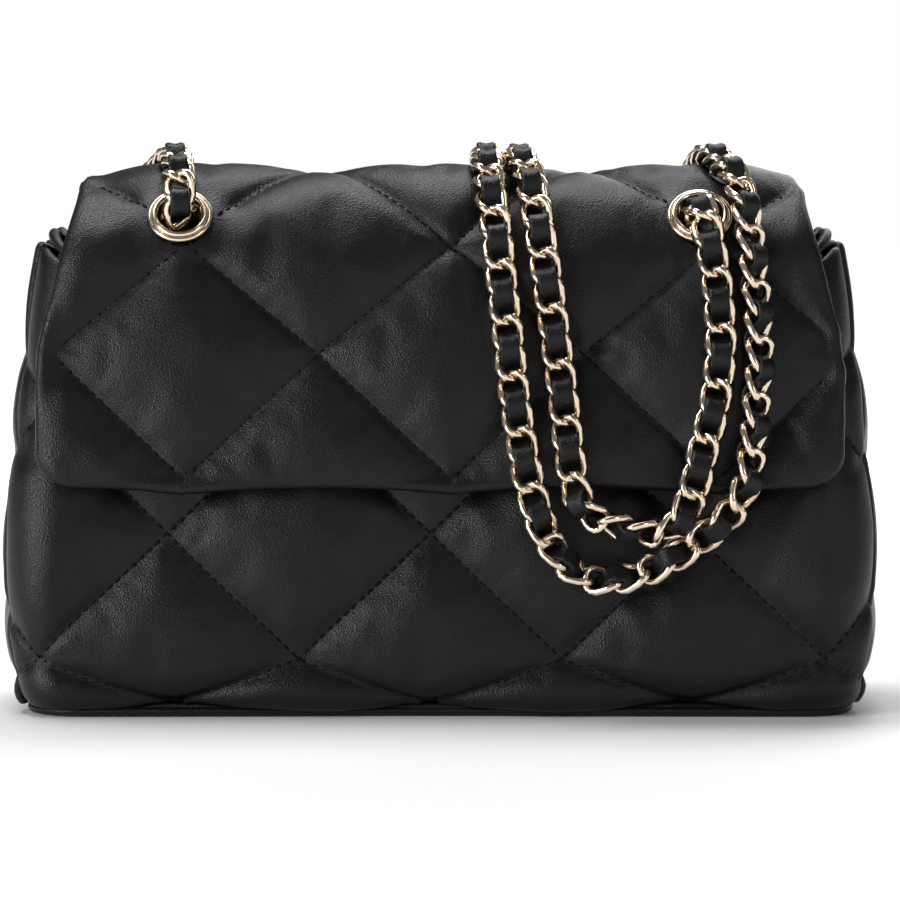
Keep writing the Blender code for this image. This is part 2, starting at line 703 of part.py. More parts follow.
def snap_stud_and_socket(metal):
    """Makes both halves and returns the stud, which moves with the flap."""
    stud_at, socket_at, room = snap_frames()
    height = room - STUD_THICKNESS - GAP
    clear = 0.0006
    stud = (
        (0, 0), (SNAP_RADIUS, 0), (SNAP_RADIUS, STUD_THICKNESS * 0.6),
        (SNAP_RADIUS * 0.93, STUD_THICKNESS), (0.0034, STUD_THICKNESS),
        (0.0034 - STUD_BOSS * 1.2, STUD_THICKNESS + STUD_BOSS * 0.7),
        (0, STUD_THICKNESS + STUD_BOSS * 0.7),
    )
    floor = height - STUD_BOSS * 0.7 - clear / 2
    socket = (
        (0, 0), (SNAP_RADIUS, 0), (SNAP_RADIUS, height * 0.7), (SNAP_RADIUS * 0.93, height),
        (0.0034 + 2 * clear, height), (0.0034 + clear - STUD_BOSS * 0.4, floor), (0, floor),
    )
    made = []
    for name, frame, profile in (("snap_stud", stud_at, stud), ("snap_socket", socket_at, socket)):
        bm = capped(profile, 24)
        bmesh.ops.transform(bm, matrix=frame, verts=bm.verts)
        made.append(mesh_object(name, bm, metal))
    return made[0]


# Pockets and the zip


def side_run(x, z, front):
    """The s of a place on the straight of the front or back wall."""
    half_run = half_width(z) - CORNER_RADIUS
    share = (x + half_run) / (2 * half_run)
    return share if front else 5 - share


def pocket(name, front, top_z, hollow_top_z, finish):
    """A patch pocket that stands off the lining, hollow towards it. It is open above when
    its hollow goes higher than the pocket itself."""
    near = LINING_FACE + POCKET_SLACK
    far = near + POCKET_ROOM + POCKET_WALL

    def slab(half, foot_z, slab_top_z, depths):
        def place(x, z, side):
            s = side_run(x, z, front)
            return body_at(s, wall_share(z, s), depths[side])

        return block(np.linspace(-half, half, 3), np.linspace(foot_z, slab_top_z, 8), place)

    outer = slab(POCKET_HALF, POCKET_FOOT_Z, top_z, (near, far))
    hollow = slab(
        POCKET_HALF - POCKET_SEAM, POCKET_FOOT_Z + POCKET_SEAM, hollow_top_z,
        (near - CUT_BEYOND, far - POCKET_WALL),
    )
    made = mesh_object(name, outer, finish)
    boolean(made, helper(name + "_hollow", hollow), "DIFFERENCE")
    return made


def zip_frame():
    """On the face of the lining at the back: +X along the zip, +Y up it, +Z into the bag."""
    s = side_run(0, ZIP_Z, False)
    t = wall_share(ZIP_Z, s)
    face = body_at(s, t, LINING_FACE)
    into = (body_at(s, t, LINING_FACE + 0.001) - face).normalized()
    side = Vector((1, 0, 0))
    turn = Matrix((side, into.cross(side), into)).transposed().to_4x4()
    return Matrix.Translation(face) @ turn


def pocket_face():
    return POCKET_SLACK + POCKET_ROOM + POCKET_WALL


def zip_parts(cloth, metal):
    frame = zip_frame()
    window = box((ZIP_LENGTH, ZIP_WINDOW, 0.010), (0, 0, pocket_face()))
    bmesh.ops.transform(window, matrix=frame, verts=window.verts)
    pouch = pocket("zip_pocket", False, POCKET_TOP_Z, POCKET_TOP_Z - POCKET_SEAM, cloth)
    boolean(pouch, helper("zip_window", window), "DIFFERENCE")
    tape_z = pocket_face() - POCKET_WALL - GAP - TAPE_THICKNESS / 2
    tape_y = TEETH_SPLIT + TEETH_HEIGHT + GAP + TAPE_HEIGHT / 2
    teeth_y = TEETH_SPLIT + TEETH_HEIGHT / 2
    tape_size = (ZIP_LENGTH + 0.006, TAPE_HEIGHT, TAPE_THICKNESS)
    teeth_size = (ZIP_LENGTH - 0.004, TEETH_HEIGHT, TEETH_THICKNESS)
    for row, sign in (("upper", 1), ("lower", -1)):
        tape = box(tape_size, (0, sign * tape_y, tape_z))
        teeth = box(teeth_size, (0, sign * teeth_y, tape_z))
        for name, bm, finish in (("zip_tape", tape, cloth), ("zip_teeth", teeth, metal)):
            bmesh.ops.transform(bm, matrix=frame, verts=bm.verts)
            mesh_object(f"{name}_{row}", bm, finish)
    return frame, tape_z


def pin_depth(tape_z):
    return tape_z + TEETH_THICKNESS / 2 + GAP + SLIDER_PLATE + PULL_EYE + 0.0004


def zip_slider(frame, tape_z, metal):
    """Two plates either side of the teeth, a web between the rows, and a bail for the pull."""
    at_x = ZIP_LENGTH / 2 - 0.002 - SLIDER_LENGTH / 2
    front_z = tape_z + TEETH_THICKNESS / 2 + GAP + SLIDER_PLATE / 2
    back_z = tape_z - TEETH_THICKNESS / 2 - GAP - SLIDER_PLATE / 2
    plate = (SLIDER_LENGTH, SLIDER_HEIGHT, SLIDER_PLATE)
    pin_z = pin_depth(tape_z)
    lug_x = PULL_WIDTH / 2 + GAP + 0.0005
    lug_z = (front_z + pin_z) / 2
    front = box(plate, (at_x, 0, front_z), 0.0003)
    extras = {
        "back": box(plate, (at_x, 0, back_z), 0.0003),
        "web": box((SLIDER_LENGTH * 0.8, TEETH_SPLIT, front_z - back_z), (at_x, 0, tape_z)),
        "pin": cylinder_x(PULL_PIN_RADIUS, 2 * lug_x + 0.0006, (at_x, 0, pin_z)),
    }
    for side in (-1, 1):
        size = (0.0010, 0.0024, pin_z - front_z + 2 * PULL_PIN_RADIUS + 0.0006)
        extras[f"lug{side}"] = box(size, (at_x + side * lug_x, 0, lug_z))
    bmesh.ops.transform(front, matrix=frame, verts=front.verts)
    slider = mesh_object("zip_slider", front, metal)
    for name, bm in extras.items():
        bmesh.ops.transform(bm, matrix=frame, verts=bm.verts)
        boolean(slider, helper("zip_slider_" + name, bm), "UNION")
    return slider, frame @ Vector((at_x, 0, pin_z))


def zip_pull(pin, metal):
    """Hangs plumb from the slider's pin."""
    length = PULL_LENGTH
    plate = box((PULL_WIDTH, PULL_THICKNESS, length), (0, 0, -length / 2 - PULL_EYE * 0.4), 0.0003)
    eye = cylinder_x(PULL_EYE, PULL_WIDTH, (0, 0, 0), 20)
    hole = cylinder_x(PULL_PIN_RADIUS + GAP, PULL_WIDTH * 2, (0, 0, 0))
    for bm in (plate, eye, hole):
        bmesh.ops.translate(bm, vec=pin, verts=bm.verts)
    pull = mesh_object("zip_pull", plate, metal)
    boolean(pull, helper("zip_pull_eye", eye), "UNION")
    boolean(pull, helper("zip_pull_hole", hole), "DIFFERENCE")
    return pull


# Strap


def straps(finish):
    """(pieces on the flap, pieces on the body)"""
    on_flap = [
        tube("strap_left_loop", smooth_route(STRAP_LEFT_LOOP, 26), STRAP_RADIUS, finish),
        tube("strap_front_inner", smooth_route(STRAP_FRONT_INNER, 36), STRAP_RADIUS, finish),
        tube("strap_front_outer", smooth_route(STRAP_FRONT_OUTER, 44), STRAP_RADIUS, finish),
    ]
    tube("strap_back_outer", smooth_route(STRAP_BACK_OUTER, 16), STRAP_RADIUS, finish)
    tube("strap_back_inner", smooth_route(STRAP_BACK_INNER, 14), STRAP_RADIUS, finish)
    return on_flap


def main():
    clear_scene()
    leather = material("quilted_leather", (0.012, 0.012, 0.014), 0.45)
    edging = material("plain_leather", (0.012, 0.012, 0.014), 0.4)
    cloth = material("lining_cloth", (0.03, 0.03, 0.032), 0.8)
    board = material("base_board", (0.25, 0.2, 0.15), 0.8)
    metal = material("pale_gold", (0.83, 0.68, 0.42), 0.2, 1.0)
    laced = material("laced_chain", (0.6, 0.48, 0.3), 0.3, 0.8)

    body_panels(leather)
    foot_pieces(edging, board)
    lining_bag(cloth)
    mouth_binding(edging)

    hinge = joint_empty("flap_hinge", (0, back_depth(HINGE_Z), HINGE_Z))
    on_flap = flap_panel(leather, cloth, eyelet_cutter())
    on_flap += eyelets(metal)
    on_flap.append(snap_stud_and_socket(metal))
    on_flap += straps(laced)
    hang_on(hinge, on_flap)

    frame, tape_z = zip_parts(cloth, metal)
    pocket("slip_pocket", True, SLIP_TOP_Z, SLIP_TOP_Z + CUT_BEYOND, cloth)
    slider, pin = zip_slider(frame, tape_z, metal)
    slide = joint_empty("zip_slide", pin)
    hang_on(slide, [slider])
    swing = joint_empty("zip_pull_swing", pin, slide)
    pull = zip_pull(pin, metal)
    pull.data.transform(Matrix.Translation(-pin))
    pull.parent = swing


main()
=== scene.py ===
"""The look of a quilted flap bag on a laced chain strap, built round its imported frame.

Metres. The bag faces -Y, +X is on the right of someone who looks at its front, and +Z is up.
"""

import math

import bmesh
import bpy
import numpy as np
from bpy.props import FloatProperty, FloatVectorProperty, IntProperty, PointerProperty
from mathutils import Matrix, Vector
from mathutils.kdtree import KDTree


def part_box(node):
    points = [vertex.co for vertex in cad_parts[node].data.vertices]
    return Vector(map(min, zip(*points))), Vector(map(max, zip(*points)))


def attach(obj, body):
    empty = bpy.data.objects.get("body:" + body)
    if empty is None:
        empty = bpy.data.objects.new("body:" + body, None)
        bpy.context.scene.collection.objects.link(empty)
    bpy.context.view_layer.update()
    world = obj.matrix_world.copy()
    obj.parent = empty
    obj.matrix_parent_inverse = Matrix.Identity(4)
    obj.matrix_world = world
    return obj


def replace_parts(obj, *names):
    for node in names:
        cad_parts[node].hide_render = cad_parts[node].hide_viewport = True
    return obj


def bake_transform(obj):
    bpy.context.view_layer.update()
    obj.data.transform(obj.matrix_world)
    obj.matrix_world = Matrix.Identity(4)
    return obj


bl_info = {
    "name": "Quilted flap bag",
    "version": (1, 0, 0),
    "blender": (4, 5, 0),
    "location": "View3D > Sidebar > Bag",
    "description": "Builds the leather, the laced chain and the fittings of a quilted flap bag",
    "category": "Object",
}

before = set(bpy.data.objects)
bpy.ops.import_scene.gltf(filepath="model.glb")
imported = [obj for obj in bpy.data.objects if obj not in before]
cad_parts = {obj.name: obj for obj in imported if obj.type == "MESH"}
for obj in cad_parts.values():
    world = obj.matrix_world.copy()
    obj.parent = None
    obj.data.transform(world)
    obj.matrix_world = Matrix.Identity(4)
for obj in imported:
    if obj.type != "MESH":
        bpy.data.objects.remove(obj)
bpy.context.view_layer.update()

BAG, FLAP, SLIDER, PULL = "bag", "flap_body", "slider", "pull"
CENTRE = np.array((0, 0, 0.08))

# The frame's own shape: the outer surfaces of the body and of the flap
BODY_WIDTH, BELLY_Z, BODY_TOP_Z = 0.270, 0.034, 0.150
SIDE_TAPER, FOOT_TAPER = 0.0105, 0.0006
FRONT_REACH, FRONT_LEAN, BACK_LEAN = 0.040, 0.018, 0.011
CORNER_RADIUS = 0.016
ROLL_HEIGHT, ROLL_IN, ROLL_IN_SIDE = 0.012, 0.010, 0.007
ROLL_STOP = math.radians(40)
MOUTH_SIDE_Z, MOUTH_FRONT_Z, MOUTH_FOLD_Z = 0.148, 0.140, 0.142
GUSSET_FOLD, GUSSET_FOLD_FOOT_Z = 0.008, 0.055
BINDING_RADIUS, PIPING_RADIUS = 0.0018, 0.00125
HINGE_Z, FLAP_TOP_Z, RIDGE_Y = 0.143, 0.172, 0.004
FLAP_SHOULDER_Z, FLAP_EDGE_Z = 0.140, 0.0715
FLAP_TOP_HALF, FLAP_EDGE_HALF, FLAP_CORNER, FLAP_DROOP = 0.113, 0.126, 0.010, 0.0025
FLAP_STANDOFF = 0.0101
FLAP_LINING_DEPTH, FLAP_LINING_INSET = 0.0058, 0.003
FLAP_HEM = 0.0021  # radius of the roll at the leather's edge
FLAP_DEEPEST, PANEL_DEEPEST = -0.0045, -0.0035  # how far in the padding's valleys may reach
EYELET_PRESS = 0.0012  # how far the leather is pressed in round an eyelet
EYELET_CUT = 0.0093  # radius of the hole that the leather has there
EYELETS = {
    "front_left": (-0.081, 0.156, True), "front_right": (0.081, 0.156, True),
    "back_left": (-0.081, 0.160, False), "back_right": (0.081, 0.160, False),
}
EYELET_HOLE, EYELET_FLANGE = 0.0070, 0.0102
ZIP_PITCH = 0.0020

# The strap's route, once round its closed loop, from inside the flap at the right
ROUTE = (
    (0.0810, 0.0002, 0.1480), (0.0810, 0.0090, 0.1490), (0.0810, 0.0200, 0.1535),
    (0.0812, 0.0283, 0.1605), (0.0820, 0.0305, 0.1672), (0.0834, 0.0240, 0.1728),
    (0.0850, 0.0120, 0.1766), (0.0868, 0.0000, 0.1770), (0.0892, -0.0120, 0.1746),
    (0.0920, -0.0225, 0.1690), (0.0945, -0.0315, 0.1602), (0.0962, -0.0372, 0.1480),
    (0.0978, -0.0408, 0.1310), (0.0985, -0.0442, 0.1130), (0.0972, -0.0470, 0.0960),
    (0.0955, -0.0496, 0.0800), (0.0925, -0.0506, 0.0680), (0.0862, -0.0504, 0.0585),
    (0.0772, -0.0498, 0.0510), (0.0680, -0.0492, 0.0452), (0.0575, -0.0488, 0.0412),
    (0.0480, -0.0486, 0.0406), (0.0400, -0.0490, 0.0445), (0.0335, -0.0496, 0.0530),
    (0.0290, -0.0504, 0.0665), (0.0262, -0.0496, 0.0800), (0.0232, -0.0464, 0.0990),
    (0.0212, -0.0434, 0.1170), (0.0192, -0.0400, 0.1350), (0.0176, -0.0360, 0.1500),
    (0.0160, -0.0302, 0.1610), (0.0150, -0.0210, 0.1698), (0.0147, -0.0090, 0.1755),
    (0.0146, 0.0050, 0.1770), (0.0144, 0.0190, 0.1740), (0.0143, 0.0308, 0.1652),
    (0.0142, 0.0388, 0.1535), (0.0142, 0.0404, 0.1425),
    (0.0085, 0.0425, 0.1250), (0.0010, 0.0445, 0.1080), (-0.0075, 0.0462, 0.0930),
    (-0.0180, 0.0478, 0.0810), (-0.0310, 0.0488, 0.0730), (-0.0455, 0.0488, 0.0720),
    (-0.0590, 0.0480, 0.0790), (-0.0690, 0.0463, 0.0920), (-0.0755, 0.0445, 0.1080),
    (-0.0790, 0.0424, 0.1260), (-0.0800, 0.0404, 0.1425),
    (-0.0805, 0.0410, 0.1495), (-0.0809, 0.0393, 0.1570), (-0.0810, 0.0345, 0.1618),
    (-0.0810, 0.0283, 0.1603), (-0.0810, 0.0205, 0.1540), (-0.0810, 0.0100, 0.1492),
    (-0.0810, -0.0030, 0.1480), (-0.0810, -0.0140, 0.1495), (-0.0810, -0.0226, 0.1532),
    (-0.0810, -0.0285, 0.1590), (-0.0812, -0.0275, 0.1655), (-0.0820, -0.0190, 0.1714),
    (-0.0832, -0.0080, 0.1757), (-0.0850, 0.0050, 0.1770), (-0.0885, 0.0175, 0.1744),
    (-0.0930, 0.0280, 0.1674), (-0.0965, 0.0352, 0.1592), (-0.0985, 0.0398, 0.1510),
    (-0.1000, 0.0404, 0.1425),
    (-0.0990, 0.0424, 0.1270), (-0.0965, 0.0444, 0.1080), (-0.0920, 0.0466, 0.0880),
    (-0.0840, 0.0490, 0.0700), (-0.0720, 0.0505, 0.0560), (-0.0560, 0.0511, 0.0475),
    (-0.0390, 0.0513, 0.0450), (-0.0225, 0.0511, 0.0490), (-0.0085, 0.0503, 0.0590),
    (0.0025, 0.0486, 0.0730), (0.0110, 0.0466, 0.0900), (0.0175, 0.0445, 0.1080),
    (0.0225, 0.0424, 0.1270), (0.0252, 0.0404, 0.1425),
    (0.0253, 0.0388, 0.1535), (0.0253, 0.0308, 0.1652), (0.0252, 0.0190, 0.1740),
    (0.0252, 0.0050, 0.1770), (0.0258, -0.0090, 0.1755), (0.0275, -0.0210, 0.1698),
    (0.0292, -0.0302, 0.1610), (0.0312, -0.0363, 0.1490), (0.0335, -0.0403, 0.1340),
    (0.0359, -0.0436, 0.1160), (0.0382, -0.0466, 0.0980), (0.0398, -0.0490, 0.0830),
    (0.0420, -0.0504, 0.0700), (0.0462, -0.0502, 0.0622), (0.0530, -0.0494, 0.0582),
    (0.0610, -0.0490, 0.0560), (0.0685, -0.0492, 0.0552), (0.0742, -0.0500, 0.0606),
    (0.0780, -0.0504, 0.0705), (0.0810, -0.0490, 0.0845), (0.0846, -0.0466, 0.0985),
    (0.0866, -0.0438, 0.1150), (0.0860, -0.0408, 0.1310), (0.0842, -0.0384, 0.1440),
    (0.0826, -0.0366, 0.1520), (0.0816, -0.0330, 0.1572), (0.0810, -0.0280, 0.1580),
    (0.0810, -0.0222, 0.1528), (0.0810, -0.0140, 0.1495), (0.0810, -0.0032, 0.1480),
)

# Where the chain is turned on its side, as knots of the route and degrees
TURNS = ((8, 0), (11, -42), (15, -46), (17, -20), (19, 35), (22, 50), (24, 0),
         (93, 0), (95, 42), (98, 48), (100, 0))

# Where the strap changes from one body to the other. The line between these slants, so that
# both the runs that hang behind, under the hinge, and the loops in front, far below it, stay
# wholly on their own side.
STRAP_BLEND = (Vector((0, 0.0420, 0.1410)), Vector((0, 0.0300, 0.1490)))


# Settings


class QuiltSettings(bpy.types.PropertyGroup):
    """The quilting and its leather"""

    flap_width: FloatProperty(
        name="Flap diamond", description="Width of a diamond on the flap",
        default=0.084, unit="LENGTH")
    body_width: FloatProperty(
        name="Body diamond", description="Width of a diamond on the body",
        default=0.0812, unit="LENGTH")
    puff: FloatProperty(
        name="Puff", description="Height of the padding over its seams",
        default=0.0058, unit="LENGTH")
    seam_depth: FloatProperty(
        name="Seam depth", description="How far the seams lie under the frame's surface",
        default=0.0034, unit="LENGTH")
    softness: FloatProperty(
        name="Softness", description="Distance from a seam over which the padding rises",
        default=0.0068, unit="LENGTH")
    stitch_pitch: FloatProperty(
        name="Stitch pitch", description="From one stitch to the next",
        default=0.0034, unit="LENGTH")
    stitch_length: FloatProperty(
        name="Stitch length", description="Length of a stitch's visible thread",
        default=0.0024, unit="LENGTH")
    thread: FloatProperty(
        name="Thread", description="Thickness of the thread",
        default=0.0007, unit="LENGTH")
    leather: FloatVectorProperty(
        name="Leather", description="Colour of the leather",
        default=(0.0026, 0.0026, 0.0031), subtype="COLOR", size=3)
    thread_colour: FloatVectorProperty(
        name="Thread colour", description="Colour of the thread",
        default=(0.0035, 0.0035, 0.0035), subtype="COLOR", size=3)
    cloth: FloatVectorProperty(
        name="Lining", description="Colour of the lining",
        default=(0.022, 0.022, 0.024), subtype="COLOR", size=3)


class StrapSettings(bpy.types.PropertyGroup):
    """The chain, its lace and the metal"""

    links: IntProperty(
        name="Links", description="Links in the closed loop", default=168)
    link_length: FloatProperty(
        name="Link length", description="Outside length of a link",
        default=0.0134, unit="LENGTH")
    link_width: FloatProperty(
        name="Link width", description="Outside width of a link",
        default=0.0108, unit="LENGTH")
    wire: FloatProperty(
        name="Wire", description="Thickness of the links' wire",
        default=0.0026, unit="LENGTH")
    link_twist: FloatProperty(
        name="Link twist", description="Turn of each end of a link out of its plane",
        default=math.radians(42), subtype="ANGLE")
    lace_width: FloatProperty(
        name="Lace width", description="Width of the leather lace",
        default=0.0064, unit="LENGTH")
    lace_thickness: FloatProperty(
        name="Lace thickness", description="Thickness of the folded lace",
        default=0.0018, unit="LENGTH")
    lace_swing: FloatProperty(
        name="Lace swing", description="How far the lace goes over and under the links",
        default=0.0036, unit="LENGTH")
    gold: FloatVectorProperty(
        name="Gold", description="Colour of the plated metal",
        default=(0.84, 0.69, 0.53), subtype="COLOR", size=3)


class StageSettings(bpy.types.PropertyGroup):
    """The camera and the light"""

    distance: FloatProperty(
        name="Distance", description="From the camera to the bag",
        default=1.35, unit="LENGTH")
    view_width: FloatProperty(
        name="View width", description="What the picture spans at the bag",
        default=0.2808, unit="LENGTH")
    height: FloatProperty(
        name="Height", description="Of the point that the camera looks at",
        default=0.083, unit="LENGTH")
    aside: FloatProperty(
        name="Aside", description="Of that point, to the right of the bag's middle",
        default=0.0031, unit="LENGTH")
    forward: FloatProperty(
        name="Forward", description="Of that point, in front of the bag's middle",
        default=0.030, unit="LENGTH")
    tilt: FloatProperty(
        name="Tilt", description="How far above the bag the camera stands",
        default=math.radians(4), subtype="ANGLE")


# The frame's surfaces, for arrays of places


def ease(x):
    """From 0 to 1, with no slope at either end."""
    x = np.clip(x, 0, 1)
    return x * x * (3 - 2 * x)


def height_share(z):
    return np.maximum(0, (z - BELLY_Z) / (BODY_TOP_Z - BELLY_Z))


def half_width(z):
    low = BODY_WIDTH / 2 - FOOT_TAPER * (1 - z / BELLY_Z) ** 2
    return np.where(z < BELLY_Z, low, BODY_WIDTH / 2 - SIDE_TAPER * height_share(z) ** 2)


def front_depth(z):
    return FRONT_REACH - FRONT_LEAN * height_share(z) ** 1.3


def flap_face(z):
    return front_depth(z) + FLAP_STANDOFF


def back_depth(z):
    return flap_face(FLAP_EDGE_Z) - BACK_LEAN * height_share(z) ** 1.2


def outline(s, z, tuck):
    """Points round the body at heights z. s is 0 to 1 along the front, 1 to 2 round a
    corner, 2 to 3 along the right side, and so on to 8."""
    half = half_width(z) - ROLL_IN_SIDE * tuck
    front = -front_depth(z) + ROLL_IN * tuck
    back = back_depth(z) - ROLL_IN * tuck
    middle, depth = (front + back) / 2, (back - front) / 2
    side, part = np.divmod(s % 8, 2)
    across, straight = side % 2 == 0, part <= 1
    run = np.where(across, half, depth) - CORNER_RADIUS
    reach = np.where(across, depth, half)
    fold = GUSSET_FOLD * ease((z - GUSSET_FOLD_FOOT_Z) / (MOUTH_FOLD_Z - GUSSET_FOLD_FOOT_Z))
    fold = np.where(across, 0, fold * np.cos(math.pi * (part - 0.5)) ** 2)
    turn = np.clip(part - 1, 0, 1) * math.pi / 2
    along = np.where(straight, run * (2 * part - 1), run + CORNER_RADIUS * np.sin(turn))
    out = np.where(straight, reach - fold, reach - CORNER_RADIUS * (1 - np.cos(turn)))
    angle = side * math.pi / 2
    x = along * np.cos(angle) + out * np.sin(angle)
    y = along * np.sin(angle) - out * np.cos(angle) + middle
    return np.stack([x, y, z + 0 * s], -1)


def mouth_z(s):
    away = abs((s + 3.5) % 8 - 4)
    front = MOUTH_FRONT_Z + (MOUTH_SIDE_Z - MOUTH_FRONT_Z) * ease(away - 0.5)
    dip = np.cos(math.pi * (away - 2)) ** 2
    side = MOUTH_SIDE_Z - (MOUTH_SIDE_Z - MOUTH_FOLD_Z) * dip
    back = MOUTH_SIDE_Z + (HINGE_Z - MOUTH_SIDE_Z) * ease((away - 2.5) / 0.7)
    return np.where(away < 1.5, front, np.where(away < 2.5, side, back))


def body_point(s, t):
    """t is 0 to 1 round the turn at the foot, and 1 to 2 up the wall."""
    turn = np.clip(t, 0, 1) * math.pi / 2
    wall = ROLL_HEIGHT + (t - 1) * (mouth_z(s) - ROLL_HEIGHT)
    z = np.where(t < 1, ROLL_HEIGHT * (1 - np.cos(turn)), wall)
    return outline(s, z, np.where(t < 1, 1 - np.sin(turn), 0))


def flap_outline():
    """The flap's outer line from the hinge over the ridge to its lower edge, as (y, z)."""
    turn = np.linspace(0, math.pi / 2, 90)
    back_z = HINGE_Z + (FLAP_TOP_Z - HINGE_Z) * np.sin(turn)
    back = np.stack([RIDGE_Y + (back_depth(back_z) - RIDGE_Y) * np.cos(turn), back_z], 1)
    front_z = FLAP_SHOULDER_Z + (FLAP_TOP_Z - FLAP_SHOULDER_Z) * np.sin(turn)
    front = np.stack([RIDGE_Y - (flap_face(front_z) + RIDGE_Y) * np.cos(turn), front_z], 1)
    z = np.linspace(FLAP_SHOULDER_Z, FLAP_EDGE_Z, 90)
    return np.concatenate([back[:-1], front[:0:-1], np.stack([-flap_face(z), z], 1)])


FLAP_LINE = flap_outline()
FLAP_RUN = np.concatenate([[0], np.cumsum(np.hypot(*np.diff(FLAP_LINE, axis=0).T))])
FLAP_LENGTH = float(FLAP_RUN[-1])
RIDGE_RUN = float(FLAP_RUN[np.argmax(FLAP_LINE[:, 1])])


def flap_half(run):
    share = (run - RIDGE_RUN) / (FLAP_LENGTH - RIDGE_RUN)
    half = FLAP_TOP_HALF + (FLAP_EDGE_HALF - FLAP_TOP_HALF) * ease(share / 0.85)
    into = np.maximum(0, run - (FLAP_LENGTH - FLAP_CORNER))
    return half - FLAP_CORNER + np.sqrt(np.maximum(0, FLAP_CORNER**2 - into**2))


def flap_line(run):
    """(y, z) and the outward normal at distances along the flap from its hinge."""
    def at(where):
        return np.stack([np.interp(where, FLAP_RUN, FLAP_LINE[:, i]) for i in (0, 1)], -1)
    ahead = at(np.clip(run + 0.002, 0, FLAP_LENGTH)) - at(np.clip(run - 0.002, 0, FLAP_LENGTH))
    normal = np.stack([ahead[..., 1], -ahead[..., 0]], -1)
    return at(run), normal / np.linalg.norm(normal, axis=-1, keepdims=True)


def flap_point(u, run, depth=0.0, inset=0.0):
    """u is -1 to 1 across the flap, and depth is under its outer surface."""
    line, normal = flap_line(run)
    arch = ease((line[..., 1] - HINGE_Z) / (FLAP_TOP_Z - HINGE_Z))
    droop = FLAP_DROOP * arch * ease((abs(u) - 0.8) / 0.2)
    x = u * (flap_half(run) - inset)
    y = line[..., 0] - depth * normal[..., 0]
    return np.stack([x, y, line[..., 1] - droop - depth * normal[..., 1]], -1)


def flap_run_at(z, front):
    on_side = (FLAP_LINE[:, 0] < RIDGE_Y) == front
    return float(FLAP_RUN[np.argmin(np.where(on_side, abs(FLAP_LINE[:, 1] - z), np.inf))])


def flap_frame(x, z, front):
    """A frame on the flap's outer surface with +Z out of it."""
    line, normal = flap_line(np.array(flap_run_at(z, front)))
    out, side = Vector((0, *normal)), Vector((1, 0, 0))
    turn = Matrix((side, out.cross(side), out)).transposed().to_4x4()
    return Matrix.Translation((x, *line)) @ turn


# The strap's line


def closed_curve(knots, count):
    """count points evenly round a smooth closed curve through the knots, and its length."""
    knots = np.array(knots)
    a, b, c, d = (np.roll(knots, shift, 0)[:, None] for shift in (1, 0, -1, -2))
    t = np.linspace(0, 1, 16, endpoint=False)[None, :, None]
    fine = 0.5 * (2 * b + (c - a) * t + (2 * a - 5 * b + 4 * c - d) * t**2
                  + (3 * b - a - 3 * c + d) * t**3)
    fine = fine.reshape(-1, 3)
    fine = np.concatenate([fine, fine[:1]])
    run = np.concatenate([[0], np.cumsum(np.linalg.norm(np.diff(fine, axis=0), axis=1))])
    at = np.linspace(0, run[-1], count, endpoint=False)
    return np.stack([np.interp(at, run, fine[:, i]) for i in range(3)], 1), float(run[-1])


def settled(knots):
    """The route with its top let down on the flap and its front loops drawn up a little,
    because the laced chain is flatter than the round cord that the frame has."""
    knots = np.array(knots)
    x, y, z = knots.T
    down = 0.0026 * ease((z - 0.166) / 0.010)
    up = 0.0036 * ease((0.085 - z) / 0.035) * (y < 0)
    return np.stack([x, y, z - down + up], 1)


LINE_POINTS = 1680
LINE, LINE_LENGTH = closed_curve(settled(ROUTE), LINE_POINTS)


def strap_frames():
    """Along the line: its direction, the direction out of the bag square to it, and the
    third one. Where the strap dives through an eyelet the outward one is carried on."""
    ahead = np.roll(LINE, -1, 0) - np.roll(LINE, 1, 0)
    ahead /= np.linalg.norm(ahead, axis=1, keepdims=True)
    out = LINE - np.stack([LINE[:, 0], np.full(len(LINE), RIDGE_Y),
                           np.minimum(LINE[:, 2], 0.138)], 1)
    out /= np.linalg.norm(out, axis=1, keepdims=True)
    flat = out - ahead * np.sum(out * ahead, axis=1, keepdims=True)
    trust = np.linalg.norm(flat, axis=1)
    side = Vector(flat[0]).normalized()
    turns = []
    for i, tangent in enumerate(ahead):
        tangent = Vector(tangent)
        side = (side - tangent * side.dot(tangent)).normalized()
        third = tangent.cross(side)
        wanted = Vector(flat[i])
        turns.append((math.atan2(wanted.dot(third), wanted.dot(side)), side.copy()))
    angle = np.unwrap([turn for turn, _ in turns])
    weight = trust**4 + 1e-3
    reach = 26
    window = np.exp(-np.linspace(-2, 2, 2 * reach + 1) ** 2)

    def smooth(values):
        padded = np.concatenate([values[-reach:], values, values[:reach]])
        return np.convolve(padded, window, "valid")

    # the carried frame doesn't close on itself, so the turn is smoothed without its drift
    drift = np.linspace(0, round((angle[-1] - angle[0]) / math.tau) * math.tau, len(angle))
    flatness = angle - drift
    flatness = smooth(flatness * weight) / smooth(weight)
    places = settled(ROUTE)
    knots = [int(np.argmin(np.linalg.norm(LINE - places[knot], axis=1))) for knot, _ in TURNS]
    extra = np.interp(np.arange(len(angle)), knots, [math.radians(turn) for _, turn in TURNS])
    angle = flatness + drift + extra
    base = np.array([kept for _, kept in turns])
    third = np.cross(ahead, base)
    out = base * np.cos(angle)[:, None] + third * np.sin(angle)[:, None]
    return ahead, out, np.cross(ahead, out)


AHEAD, OUT, ASIDE = strap_frames()


def strap_tree():
    tree = KDTree(LINE_POINTS)
    for i, point in enumerate(LINE):
        tree.insert(point, i)
    tree.balance()
    return tree


TREE = strap_tree()
STRAP_REACH = 0.0056  # leather this near the strap's line is pressed back


